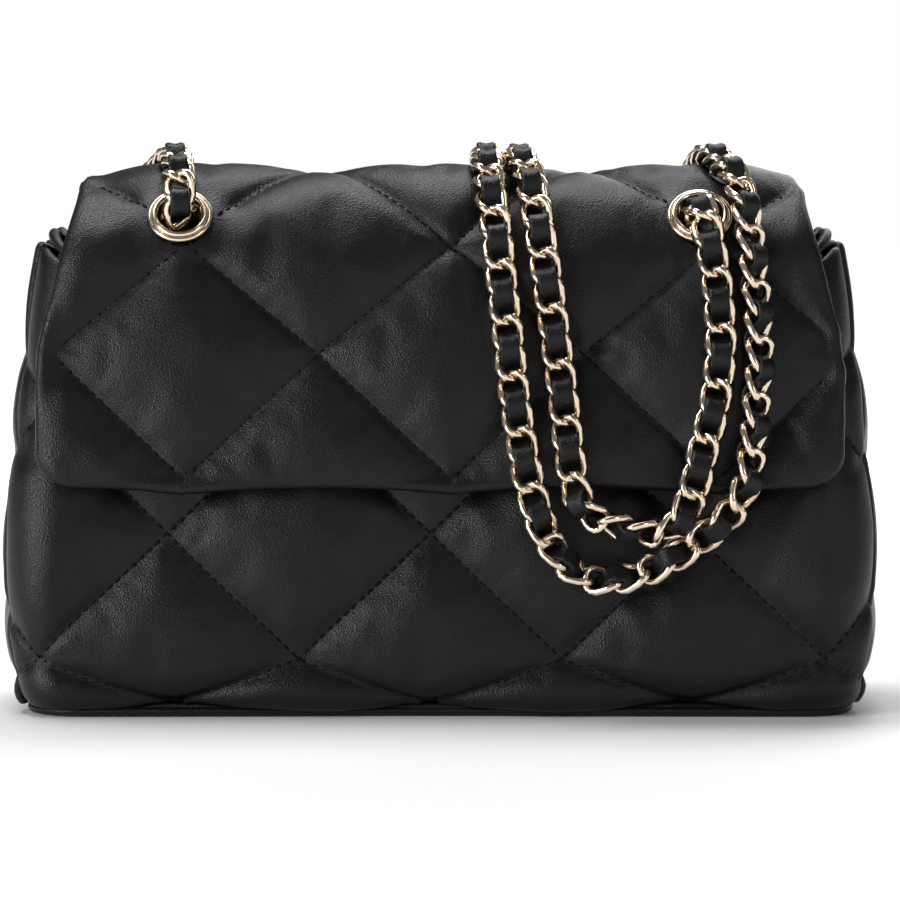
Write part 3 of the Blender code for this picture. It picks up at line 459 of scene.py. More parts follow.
def pressed(points, normals):
    """How far the strap presses the leather in at each point."""
    found = np.zeros(len(points))
    for i, point in enumerate(points):
        near, _, distance = TREE.find(point)
        if distance < STRAP_REACH and np.dot(np.array(near) - point, normals[i]) > 0.001:
            found[i] = STRAP_REACH - distance
    return found


# Materials


def new_material(name, colour, roughness, metallic=0.0):
    made = bpy.data.materials.new(name)
    made.use_nodes = True
    shader = made.node_tree.nodes["Principled BSDF"]
    shader.inputs["Base Color"].default_value = (*colour, 1)
    shader.inputs["Roughness"].default_value = roughness
    shader.inputs["Metallic"].default_value = metallic
    return made, made.node_tree, shader


def add_node(tree, kind, **values):
    """A node with its properties and input values set by name."""
    node = tree.nodes.new(kind)
    for name, value in values.items():
        if hasattr(node, name):
            setattr(node, name, value)
        else:
            node.inputs[name.replace("_", " ")].default_value = value
    return node


def object_coords(tree, scale=(1, 1, 1)):
    coords = tree.nodes.new("ShaderNodeTexCoord")
    mapping = tree.nodes.new("ShaderNodeMapping")
    mapping.inputs["Scale"].default_value = scale
    tree.links.new(coords.outputs["Object"], mapping.inputs["Vector"])
    return mapping.outputs["Vector"]


def value_range(tree, value, low, high, from_low=0.0, from_high=1.0):
    node = tree.nodes.new("ShaderNodeMapRange")
    for name, number in (("From Min", from_low), ("From Max", from_high), ("To Min", low),
                         ("To Max", high)):
        node.inputs[name].default_value = number
    tree.links.new(value, node.inputs["Value"])
    return node.outputs["Result"]


def bump(tree, shader, height, strength, distance, under=None):
    node = add_node(tree, "ShaderNodeBump", Strength=strength, Distance=distance)
    tree.links.new(height, node.inputs["Height"])
    if under:
        tree.links.new(under, node.inputs["Normal"])
    tree.links.new(node.outputs["Normal"], shader.inputs["Normal"])
    return node.outputs["Normal"]


def leather_material(name, colour, worn=True):
    """Fine-grained leather with a satin face, a little paler on its crests."""
    made, tree, shader = new_material(name, colour, 0.42)
    where = object_coords(tree)
    cells = add_node(tree, "ShaderNodeTexVoronoi", feature="SMOOTH_F1", Scale=1900.0,
                     Smoothness=0.35, Randomness=0.95)
    pores = add_node(tree, "ShaderNodeTexNoise", Scale=4200.0, Detail=3.0)
    folds = add_node(tree, "ShaderNodeTexNoise", Scale=120.0, Detail=5.0, Roughness=0.6)
    cloud = add_node(tree, "ShaderNodeTexNoise", Scale=28.0, Detail=2.0)
    for texture in (cells, pores, folds, cloud):
        tree.links.new(where, texture.inputs["Vector"])
    first = bump(tree, shader, folds.outputs["Fac"], 0.08, 0.0006)
    second = bump(tree, shader, cells.outputs["Distance"], 0.55, 0.00024, first)
    bump(tree, shader, pores.outputs["Fac"], 0.2, 0.00008, second)
    mix = add_node(tree, "ShaderNodeMix", data_type="RGBA", blend_type="MIX")
    mix.inputs[6].default_value = (*(c * 0.8 for c in colour), 1)
    mix.inputs[7].default_value = (*(c * 1.6 + 0.001 for c in colour), 1)
    tree.links.new(mix.outputs[2], shader.inputs["Base Color"])
    shade = value_range(tree, cloud.outputs["Fac"], 0.1, 0.75, 0.3, 0.7)
    if worn:
        crest = add_node(tree, "ShaderNodeAttribute", attribute_name="crest")
        joined = add_node(tree, "ShaderNodeMath", operation="MULTIPLY")
        tree.links.new(shade, joined.inputs[0])
        tree.links.new(crest.outputs["Fac"], joined.inputs[1])
        shade = joined.outputs[0]
    tree.links.new(shade, mix.inputs[0])
    grain = value_range(tree, folds.outputs["Fac"], 0.33, 0.42, 0.25, 0.75)
    tree.links.new(grain, shader.inputs["Roughness"])
    shader.inputs["Specular IOR Level"].default_value = 0.26
    return made


def cloth_material(name, colour, scale=1300.0):
    """A plain weave."""
    made, tree, shader = new_material(name, colour, 0.82)
    where = object_coords(tree)
    height = None
    for axis in ("X", "Y", "Z"):
        thread = add_node(tree, "ShaderNodeTexWave", wave_type="BANDS", bands_direction=axis,
                          Scale=scale / 4, Distortion=0.6, Detail=1.0)
        tree.links.new(where, thread.inputs["Vector"])
        if height is None:
            height = thread.outputs["Fac"]
            continue
        joined = add_node(tree, "ShaderNodeMath", operation="MAXIMUM")
        tree.links.new(height, joined.inputs[0])
        tree.links.new(thread.outputs["Fac"], joined.inputs[1])
        height = joined.outputs[0]
    bump(tree, shader, height, 0.5, 0.0002)
    mix = add_node(tree, "ShaderNodeMix", data_type="RGBA")
    mix.inputs[6].default_value = (*(c * 0.6 for c in colour), 1)
    mix.inputs[7].default_value = (*(c * 1.5 for c in colour), 1)
    tree.links.new(height, mix.inputs[0])
    tree.links.new(mix.outputs[2], shader.inputs["Base Color"])
    shader.inputs["Sheen Weight"].default_value = 0.25
    return made


def metal_material(name, colour, low=0.10, high=0.24):
    """Plated metal with faint polishing marks."""
    made, tree, shader = new_material(name, colour, 0.18, 1.0)
    where = object_coords(tree)
    haze = add_node(tree, "ShaderNodeTexNoise", Scale=420.0, Detail=4.0)
    marks = add_node(tree, "ShaderNodeTexNoise", Scale=2400.0, Detail=2.0)
    for texture in (haze, marks):
        tree.links.new(where, texture.inputs["Vector"])
    rough = value_range(tree, haze.outputs["Fac"], low, high, 0.3, 0.7)
    tree.links.new(rough, shader.inputs["Roughness"])
    bump(tree, shader, marks.outputs["Fac"], 0.08, 0.00005)
    return made


def thread_material(name, colour):
    made, tree, shader = new_material(name, colour, 0.8)
    twist = add_node(tree, "ShaderNodeTexWave", Scale=900.0, Distortion=1.0)
    tree.links.new(object_coords(tree, (1, 1, 2)), twist.inputs["Vector"])
    bump(tree, shader, twist.outputs["Fac"], 0.4, 0.0001)
    shader.inputs["Specular IOR Level"].default_value = 0.12
    return made


def board_material(name):
    made, tree, shader = new_material(name, (0.06, 0.052, 0.045), 0.85)
    fibre = add_node(tree, "ShaderNodeTexNoise", Scale=500.0, Detail=4.0)
    tree.links.new(object_coords(tree), fibre.inputs["Vector"])
    bump(tree, shader, fibre.outputs["Fac"], 0.3, 0.0003)
    return made


MATERIALS = {}


def material(name):
    """The named material, made when it is first asked for."""
    if name not in MATERIALS:
        quilt, strap = bpy.context.scene.bag_quilt, bpy.context.scene.bag_strap
        make = {
            "quilted leather": lambda: leather_material(name, quilt.leather),
            "plain leather": lambda: leather_material(name, quilt.leather, worn=False),
            "lining cloth": lambda: cloth_material(name, quilt.cloth),
            "zip tape": lambda: cloth_material(name, quilt.thread_colour, 2400.0),
            "thread": lambda: thread_material(name, quilt.thread_colour),
            "pale gold": lambda: metal_material(name, strap.gold),
            "stiff board": lambda: board_material(name),
        }
        MATERIALS[name] = make[name]()
    return MATERIALS[name]


# Mesh helpers


def to_object(name, bm, finish, smooth=True):
    mesh = bpy.data.meshes.new(name)
    bm.to_mesh(mesh)
    bm.free()
    if smooth:
        mesh.shade_smooth()
    mesh.materials.append(material(finish))
    obj = bpy.data.objects.new(name, mesh)
    bpy.context.scene.collection.objects.link(obj)
    return obj


def grid_mesh(us, vs):
    """A flat grid, and for each of its points the place in us and in vs."""
    bm = bmesh.new()
    bmesh.ops.create_grid(bm, x_segments=len(us) - 1, y_segments=len(vs) - 1, size=0.5)
    flat = np.array([vert.co[:2] for vert in bm.verts]) + 0.5
    i, j = np.rint(flat * (len(us) - 1, len(vs) - 1)).astype(int).T
    return bm, us[i], vs[j]


def surface(place, u, v, step=1e-3):
    """Points of a surface and their normals, away from the bag's middle."""
    points = place(u, v)
    across = place(u + step, v) - place(u - step, v)
    along = place(u, v + step) - place(u, v - step)
    normals = np.cross(across, along)
    normals /= np.linalg.norm(normals, axis=-1, keepdims=True)
    inwards = np.sum(normals * (points - CENTRE), axis=-1) < 0
    normals[inwards] *= -1
    return points, normals


def face_out(bm):
    """Turns a sheet's faces away from the bag's middle."""
    bm.normal_update()
    middle = Vector(CENTRE)
    total = sum(f.normal.dot(f.calc_center_median() - middle) for f in bm.faces)
    if total < 0:
        bmesh.ops.reverse_faces(bm, faces=bm.faces[:])
        bm.normal_update()


def hem(bm, radius, turn_in, steps=5):
    """Rolls every free edge of a sheet under itself and carries it on inwards."""
    edges = [e for e in bm.edges if e.is_boundary]
    outward = {}
    for edge in edges:
        face = edge.link_faces[0]
        a, b = edge.verts
        out = (b.co - a.co).cross(face.normal).normalized()
        if out.dot((a.co + b.co) / 2 - face.calc_center_median()) < 0:
            out.negate()
        for vert in (a, b):
            outward[vert] = outward.get(vert, Vector()) + out
    ring = {vert: vert for vert in outward}
    normal = {vert: vert.normal.copy() for vert in outward}
    start = {vert: vert.co.copy() for vert in outward}
    for step in range(1, steps + 2):
        turn = math.pi * min(step, steps) / steps
        slide = turn_in if step > steps else 0
        grown = bmesh.ops.extrude_edge_only(bm, edges=edges)["geom"]
        verts = [item for item in grown if isinstance(item, bmesh.types.BMVert)]
        fresh = {}
        for vert in verts:
            old = next(e.other_vert(vert) for e in vert.link_edges if e.other_vert(vert) in ring)
            root = ring[old]
            out = outward[root].normalized()
            down = normal[root]
            vert.co = (start[root] + out * (radius * math.sin(turn) - slide)
                       - down * radius * (1 - math.cos(turn)))
            fresh[vert] = root
        ring = fresh
        edges = [e for e in grown if isinstance(e, bmesh.types.BMEdge)
                 and all(v in ring for v in e.verts)]


def repeated(name, bm, places, finish):
    """Copies of one small mesh, each at a matrix, as one object."""
    mesh = bpy.data.meshes.new("one " + name)
    bm.to_mesh(mesh)
    bm.free()
    whole = bmesh.new()
    for place in places:
        mesh.transform(place)
        whole.from_mesh(mesh)
        mesh.transform(place.inverted())
    bpy.data.meshes.remove(mesh)
    return to_object(name, whole, finish)


def lathe(profile, steps=48, closed=True):
    """A turned ring from a profile of (radius, height)."""
    bm = bmesh.new()
    verts = [bm.verts.new((radius, 0, height)) for radius, height in profile]
    pairs = list(zip(verts, verts[1:])) + ([(verts[-1], verts[0])] if closed else [])
    edges = [bm.edges.new(pair) for pair in pairs]
    bmesh.ops.spin(bm, geom=verts + edges, cent=(0, 0, 0), axis=(0, 0, 1), angle=math.tau,
                   steps=steps, use_merge=True)
    bmesh.ops.remove_doubles(bm, verts=bm.verts[:], dist=1e-6)
    bmesh.ops.recalc_face_normals(bm, faces=bm.faces[:])
    return bm


def tube(name, points, radius, finish, cyclic=False):
    curve = bpy.data.curves.new(name, "CURVE")
    curve.dimensions = "3D"
    curve.bevel_depth = radius
    curve.bevel_resolution = 4
    curve.use_fill_caps = not cyclic
    spline = curve.splines.new("POLY")
    spline.points.add(len(points) - 1)
    for point, place in zip(spline.points, points):
        point.co = (*place, 1)
    spline.use_cyclic_u = cyclic
    curve.materials.append(material(finish))
    obj = bpy.data.objects.new(name, curve)
    bpy.context.scene.collection.objects.link(obj)
    return obj


def merged_copy(node, name, finish, angle=35):
    """The frame's piece with its triangles joined up, shaded smooth between its edges."""
    bm = bmesh.new()
    bm.from_mesh(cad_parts[node].data)
    bmesh.ops.remove_doubles(bm, verts=bm.verts[:], dist=1e-6)
    bmesh.ops.dissolve_limit(bm, angle_limit=math.radians(1), verts=bm.verts[:],
                             edges=bm.edges[:])
    obj = to_object(name, bm, finish)
    obj.data.set_sharp_from_angle(angle=math.radians(angle))
    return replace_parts(obj, node)


def soft_edges(obj, width, segments=2):
    change = obj.modifiers.new("soft edges", "BEVEL")
    change.width = width
    change.segments = segments
    change.limit_method = "ANGLE"
    change.angle_limit = math.radians(35)
    return obj


# Quilting


CELL = 0.0014  # of a finished sheet
SWELL_CELL = 0.0024  # of one while its padding swells
SWELL_MOST = 0.0050  # how far the padding may rise from where it starts
SWELL_SHARE = 0.5  # the rest of the shape is the filling's own
SNAP_BED = -0.0004  # height of the leather that the snap sits on
EDGE_HEIGHT = -0.0012  # of every sheet's own edges, over the frame's surface


class Quilt:
    """A field of diamonds. c runs across it and v up it, one row of crossings for each
    whole number, and the rows are height apart."""

    def __init__(self, width, height, across):
        self.half, self.height, self.across = width / 2, height, across
        self.reach = self.half * height / math.hypot(self.half, height)

    def seams(self, c, v):
        """Distances to the nearest seam of each slant, and the distance along each."""
        a, b = (c - self.across) / self.half + v, (c - self.across) / self.half - v
        edge = math.hypot(self.half, self.height) / 2
        near = [abs((x + 1) % 2 - 1) * self.reach for x in (a, b)]
        return *near, b * edge, a * edge

    def padding(self, c, v, edge, fullness=1.0):
        """Height of the padding over the frame's surface, and how near a crest it is, from
        0 to 1. edge is the distance to the sheet's own edges."""
        quilt = bpy.context.scene.bag_quilt
        da, db, _, _ = self.seams(c, v)
        pillow = (1 - np.exp(-da / quilt.softness)) * (1 - np.exp(-db / quilt.softness))
        height = -quilt.seam_depth + quilt.puff * pillow * fullness
        share = 1 - np.exp(-(edge + 0.0004) / 0.0042)
        return EDGE_HEIGHT + (height - EDGE_HEIGHT) * share, pillow * share

    def stitching(self, c, v, edge):
        """What the stitching adds: a groove, small gathers beside it and soft folds that
        run out of each crossing."""
        da, db, along_a, along_b = self.seams(c, v)
        height = 0
        for d, along, phase in ((da, along_a, 0.3), (db, along_b, 1.9)):
            height = height - 0.0007 * np.exp(-((d / 0.0009) ** 2))
            gathers = np.sin(along / 0.00115 + 2.1 * np.sin(along / 0.0061 + phase) + phase)
            height += 0.00022 * gathers * np.exp(-d / 0.0035) * (1 - np.exp(-d / 0.0015))
        cross = np.hypot(da, db)
        folds = np.cos(7 * np.arctan2(da, db) + 3 * np.sin(c * 60))
        height += 0.00032 * folds * np.exp(-cross / 0.011) * (1 - np.exp(-cross / 0.003))
        height += 0.0004 * np.sin(c * 71 + 1.3 * np.sin(v * 2.1)) * np.sin(v * 2.7 + c * 23) * (
            1 - np.exp(-np.minimum(da, db) / 0.008))
        return height * (1 - np.exp(-(edge + 0.0004) / 0.0042))


def stitch_mesh():
    quilt = bpy.context.scene.bag_quilt
    bm = bmesh.new()
    bmesh.ops.create_uvsphere(bm, u_segments=6, v_segments=5, radius=0.5)
    turn = Matrix.Rotation(math.pi / 2, 3, "Y")
    bmesh.ops.rotate(bm, cent=(0, 0, 0), matrix=turn, verts=bm.verts)
    size = (quilt.stitch_length, quilt.thread * 1.25, quilt.thread)
    bmesh.ops.scale(bm, vec=size, verts=bm.verts)
    return bm


def stitch_places(points, normals):
    """Matrices evenly along a line on a surface, with +X along it and +Z out."""
    pitch = bpy.context.scene.bag_quilt.stitch_pitch
    run = np.concatenate([[0], np.cumsum(np.linalg.norm(np.diff(points, axis=0), axis=1))])
    for at in np.arange(pitch / 2, run[-1], pitch):
        spot = Vector([np.interp(at, run, points[:, i]) for i in range(3)])
        ahead = [np.interp(at + 5e-4, run, points[:, i]) - np.interp(at - 5e-4, run, points[:, i])
                 for i in range(3)]
        out = Vector([np.interp(at, run, normals[:, i]) for i in range(3)]).normalized()
        ahead = Vector(ahead).normalized()
        if ahead.length < 0.5:
            continue
        side = out.cross(ahead).normalized()
        ahead = side.cross(out)
        turn = Matrix((ahead, side, out)).transposed().to_4x4()
        yield Matrix.Translation(spot) @ turn


class Sheet:
    """One quilted piece: place(u, v) is the frame's surface, pattern(u, v) gives (c, v)
    for the quilt, and edge(u, v) the distance to the sheet's edges."""

    def __init__(self, quilt, place, pattern, edge, flat, deepest):
        self.quilt, self.place, self.pattern, self.edge = quilt, place, pattern, edge
        self.deepest = deepest  # a seam stays off the lining
        self.flat = flat

        self.field = None

    def blow_up(self, us, vs):
        """Lets the padding swell between its seams, as cloth with air behind it."""
        bm, u, v = grid_mesh(us, vs)
        base, normals = surface(self.place, u, v)
        c, row = self.pattern(u, v)
        edge = self.edge(u, v)
        height, _ = self.quilt.padding(c, row, edge, 0.45)
        for vert, point in zip(bm.verts, base + normals * height[:, None]):
            vert.co = point
        face_out(bm)
        obj = to_object("swelling", bm, "quilted leather")
        da, db, _, _ = self.quilt.seams(c, row)
        near = np.minimum(np.minimum(da, db), edge)
        pins = obj.vertex_groups.new(name="seams")
        pins.add([int(i) for i in np.where(near < SWELL_CELL * 0.5)[0]], 1, "REPLACE")
        cloth = obj.modifiers.new("cloth", "CLOTH")
        rules = cloth.settings
        rules.vertex_group_mass = pins.name
        rules.quality = 5
        rules.mass = 0.3
        rules.use_pressure = True
        rules.uniform_pressure_force = 4
        rules.shrink_min = -0.012
        rules.bending_stiffness = 10
        rules.tension_stiffness = 25
        rules.compression_stiffness = 25
        rules.effector_weights.gravity = 0
        cloth.point_cache.frame_start, cloth.point_cache.frame_end = 1, 20
        scene = bpy.context.scene
        for step in range(1, 21):
            scene.frame_set(step)
        shaped = obj.evaluated_get(bpy.context.evaluated_depsgraph_get()).data
        points = np.array([vert.co for vert in shaped.vertices])
        scene.frame_set(1)
        mesh = obj.data
        bpy.data.objects.remove(obj)
        bpy.data.meshes.remove(mesh)
        offset = points - base
        rise = np.sum(offset * normals, axis=1)
        slide = offset - normals * rise[:, None]
        slide *= np.minimum(1, 0.0015 / (np.linalg.norm(slide, axis=1) + 1e-9))[:, None]
        most = height + SWELL_MOST
        rise = np.minimum(rise, most)
        i = np.rint(np.interp(u, us, np.arange(len(us)))).astype(int)
        j = np.rint(np.interp(v, vs, np.arange(len(vs)))).astype(int)
        field = np.zeros((len(us), len(vs), 4))
        field[i, j, 0] = rise
        field[i, j, 1:] = slide
        self.field = (us, vs, field)

    def swell(self, u, v):
        """The swelling's rise and sideways slide at places on the sheet, smoothly between
        those that were simulated."""
        us, vs, field = self.field
        at = [np.interp(u, us, np.arange(len(us))), np.interp(v, vs, np.arange(len(vs)))]
        total = 0
        near = [np.floor(each).astype(int) for each in at]
        for di in range(-1, 3):
            for dj in range(-1, 3):
                weight = 1.0
                for step, where, first in ((di, at[0], near[0]), (dj, at[1], near[1])):
                    t = abs(where - first - step)
                    weight = weight * np.where(
                        t < 1, (4 - 6 * t**2 + 3 * t**3) / 6, np.maximum(0, 2 - t) ** 3 / 6)
                i = np.clip(near[0] + di, 0, len(us) - 1)
                j = np.clip(near[1] + dj, 0, len(vs) - 1)
                total = total + field[i, j] * weight[..., None]
        return total[..., 0], total[..., 1:]

    def points(self, u, v, lift=0.0):
        base, normals = surface(self.place, u, v)
        c, row = self.pattern(u, v)
        edge = self.edge(u, v)
        height, crest = self.quilt.padding(c, row, edge)
        slide = 0
        if self.field:
            rise, slide = self.swell(u, v)
            height = height + (rise - height) * SWELL_SHARE
            slide = slide * SWELL_SHARE
        height = self.flat(base, height + self.quilt.stitching(c, row, edge))
        height -= pressed(base + normals * height[:, None], normals)
        height = np.maximum(height, self.deepest)
        return base + slide + normals * (height + lift)[:, None], normals, crest

    def build(self, name, us, vs, hem_radius, turn_in, holes=()):
        coarse = [np.interp(np.arange(0, len(each) - 1, SWELL_CELL / CELL),
                            np.arange(len(each)), each) for each in (us, vs)]
        self.blow_up(*[np.append(each, end) for each, end in zip(coarse, (us[-1], vs[-1]))])
        bm, u, v = grid_mesh(us, vs)
        points, _, crest = self.points(u, v)
        for vert, point in zip(bm.verts, points):
            vert.co = point
        layer = bm.verts.layers.float.new("crest")
        for vert, value in zip(bm.verts, crest):
            vert[layer] = value
        face_out(bm)
        hem(bm, hem_radius, turn_in)
        cut = [f for f in bm.faces
               if any((f.calc_center_median() - spot).length < size for spot, size in holes)]
        bmesh.ops.delete(bm, geom=cut, context="FACES")
        bm.normal_update()
        obj = to_object(name, bm, "quilted leather")
        skin = obj.modifiers.new("leather", "SOLIDIFY")
        skin.thickness = 0.0006
        skin.offset = -1
        return obj


def ride_cad(nodes, finish):
    """Gives pieces that stay as they are their finish."""
    for node in nodes:
        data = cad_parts[node].data
        data.materials.clear()
        data.materials.append(material(finish))


# Operators


class BAG_OT_stage(bpy.types.Operator):
    """The camera, the floor and the light"""

    bl_idname = "bag.stage"
    bl_label = "Stage"
    bl_options = {"REGISTER", "UNDO"}

    def execute(self, context):
        stage = context.scene.bag_stage
        target = Vector((stage.aside, -stage.forward, stage.height))
        back = Vector((0, -math.cos(stage.tilt), math.sin(stage.tilt)))
        data = bpy.data.cameras.new("camera")
        data.sensor_width = 36
        data.lens = data.sensor_width * stage.distance / stage.view_width
        data.clip_start, data.clip_end = 0.05, 20
        camera = bpy.data.objects.new("camera", data)
        camera.location = target + back * stage.distance
        camera.rotation_euler = (-back).to_track_quat("-Z", "Y").to_euler()
        context.scene.collection.objects.link(camera)
        context.scene.camera = camera

        bm = bmesh.new()
        bmesh.ops.create_grid(bm, x_segments=1, y_segments=1, size=6)
        finish, tree, shader = new_material("pale floor", (0.9, 0.9, 0.9), 0.6)
        # painted light: the floor glows, not at all near the bag and brighter far from it, where
        # the lamps don't reach
        away = tree.nodes.new("ShaderNodeVectorMath")
        away.operation = "LENGTH"
        tree.links.new(object_coords(tree), away.inputs[0])
        painted_glow = value_range(tree, away.outputs["Value"], 0.0, 0.9, 0.35, 1.6)
        tree.links.new(painted_glow, shader.inputs["Emission Strength"])
        shader.inputs["Emission Color"].default_value = (1, 1, 1, 1)
        MATERIALS["pale floor"] = finish
        floor = to_object("floor", bm, "pale floor", smooth=False)
        floor.data.transform(Matrix.Translation((0, 0, -0.0002)))

        world = bpy.data.worlds.new("studio")
        world.use_nodes = True
        tree = world.node_tree
        sky = tree.nodes["Background"]
        split = tree.nodes.new("ShaderNodeSeparateXYZ")
        coords = tree.nodes.new("ShaderNodeTexCoord")
        tree.links.new(coords.outputs["Generated"], split.inputs["Vector"])
        strength = value_range(tree, split.outputs["Z"], 1.0, 0.16, 0.04, 0.16)
        tree.links.new(strength, sky.inputs["Strength"])
        sky.inputs["Color"].default_value = (1, 1, 1, 1)
        context.scene.world = world
        context.scene.view_settings.view_transform = "Standard"

        for name, place, size, power in (
            ("key", (-1.15, -1.00, 0.50), (0.35, 0.80), 17),
            ("fill", (1.0, -1.2, 0.8), (0.3, 0.7), 2.5),
            ("top", (-0.2, 0.25, 1.3), (1.3, 0.4), 17),
            ("back", (0.6, 1.3, 0.9), (1.0, 0.8), 7),
        ):
            lamp = bpy.data.lights.new(name, "AREA")
            lamp.shape = "RECTANGLE"
            lamp.size, lamp.size_y = size
            lamp.energy = power
            obj = bpy.data.objects.new(name, lamp)
            obj.location = place
            aim = Vector((0, 0, 0.08)) - Vector(place)
            obj.rotation_euler = aim.to_track_quat("-Z", "Y").to_euler()
            context.scene.collection.objects.link(obj)
        return {"FINISHED"}


class BAG_OT_strap(bpy.types.Operator):
    """The curb chain and the lace woven through it"""

    bl_idname = "bag.strap"
    bl_label = "Laced chain"
    bl_options = {"REGISTER", "UNDO"}

    def link_mesh(self, strap):
        """One twisted link along X, its flat to Z."""
        length = (strap.link_length - strap.wire) / 2
        width = (strap.link_width - strap.wire) / 2
        us = np.linspace(0, 1, 19)
        vs = np.linspace(0, 1, 6)
        bm, u, v = grid_mesh(us, vs)

        def centre(u):
            turn = u * math.tau
            power = 0.66
            x = length * np.sign(np.cos(turn)) * abs(np.cos(turn)) ** power
            y = width * np.sign(np.sin(turn)) * abs(np.sin(turn)) ** power
            lean = strap.link_twist * np.clip(x / length, -1, 1)
            return np.stack([x, y * np.cos(lean), y * np.sin(lean)], -1)

        middle = centre(u)
        ahead = centre(u + 0.01) - centre(u - 0.01)
        ahead /= np.linalg.norm(ahead, axis=1, keepdims=True)
        out = middle - ahead * np.sum(middle * ahead, axis=1, keepdims=True)
        out /= np.linalg.norm(out, axis=1, keepdims=True)
        up = np.cross(ahead, out)
        turn = v[:, None] * math.tau
        points = middle + strap.wire / 2 * (out * np.cos(turn) + up * np.sin(turn))
        for vert, point in zip(bm.verts, points):
            vert.co = point
        bmesh.ops.remove_doubles(bm, verts=bm.verts[:], dist=1e-5)
        bmesh.ops.recalc_face_normals(bm, faces=bm.faces[:])
        return bm

    def place(self, at):
        """The matrix of the strap's frame at a share of the way round."""
        i = int(round(at * LINE_POINTS)) % LINE_POINTS
        turn = Matrix((AHEAD[i], ASIDE[i], OUT[i])).transposed().to_4x4()
        return Matrix.Translation(LINE[i]) @ turn

    def execute(self, context):
        strap = context.scene.bag_strap
        start, end = STRAP_BLEND
        groups = {BAG: [], FLAP: []}
        crossing = []
        for n in range(strap.links):
            place = self.place(n / strap.links)
            share = (place.translation - start).dot(end - start) / (end - start).length_squared
            if 0 < share < 1:
                crossing.append((n, place, share))
            else:
                groups[FLAP if share >= 1 else BAG].append(place)
        for body, places in groups.items():
            chain = repeated(f"chain_on_{body}", self.link_mesh(strap), places, "pale gold")
            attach(chain, body)
        for n, place, share in crossing:
            link = repeated(f"chain_link_{n:03d}", self.link_mesh(strap), [place], "pale gold")
            # a metre long, so that the whole link turns as one
            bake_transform(link)

        lace = self.lace(strap)
        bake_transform(lace)
        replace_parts(lace, "strap_left_loop", "strap_front_inner", "strap_front_outer",
                    "strap_back_outer", "strap_back_inner")
        return {"FINISHED"}

    def lace(self, strap):
        """A folded strip with a seam down its middle, over one pair of links and under
        the next."""
        us = np.linspace(0, 1, LINE_POINTS // 2 + 1)
        vs = np.linspace(0, 1, 17)
        bm, u, v = grid_mesh(us, vs)
        i = np.rint(u * LINE_POINTS).astype(int) % LINE_POINTS
        turn = v * math.tau
        wave = (u * strap.links - 0.5) * math.pi  # its turning points are at the links' crossings
        swing = strap.lace_swing * np.tanh(1.7 * np.cos(wave)) / math.tanh(1.7)
        squeeze = 1 - 0.10 * np.sin(wave) ** 2
        across = np.sign(np.cos(turn)) * abs(np.cos(turn)) ** 0.5
        across *= strap.lace_width / 2 * squeeze
        crown = abs(np.sin(turn)) ** 0.7
        groove = 0.55 * np.exp(-((across / 0.0008) ** 2))
        crease = 0.10 * np.sin(u * strap.links * 5.1 + 2 * np.sin(u * strap.links * 1.3))
        up = np.sign(np.sin(turn)) * strap.lace_thickness / 2 * (crown - groove + crease * crown)
        points = LINE[i] + ASIDE[i] * across[:, None] + OUT[i] * (up + swing)[:, None]
        for vert, point in zip(bm.verts, points):
            vert.co = point
        bmesh.ops.remove_doubles(bm, verts=bm.verts[:], dist=2e-6)
        bmesh.ops.recalc_face_normals(bm, faces=bm.faces[:])
        return to_object("lace", bm, "plain leather")


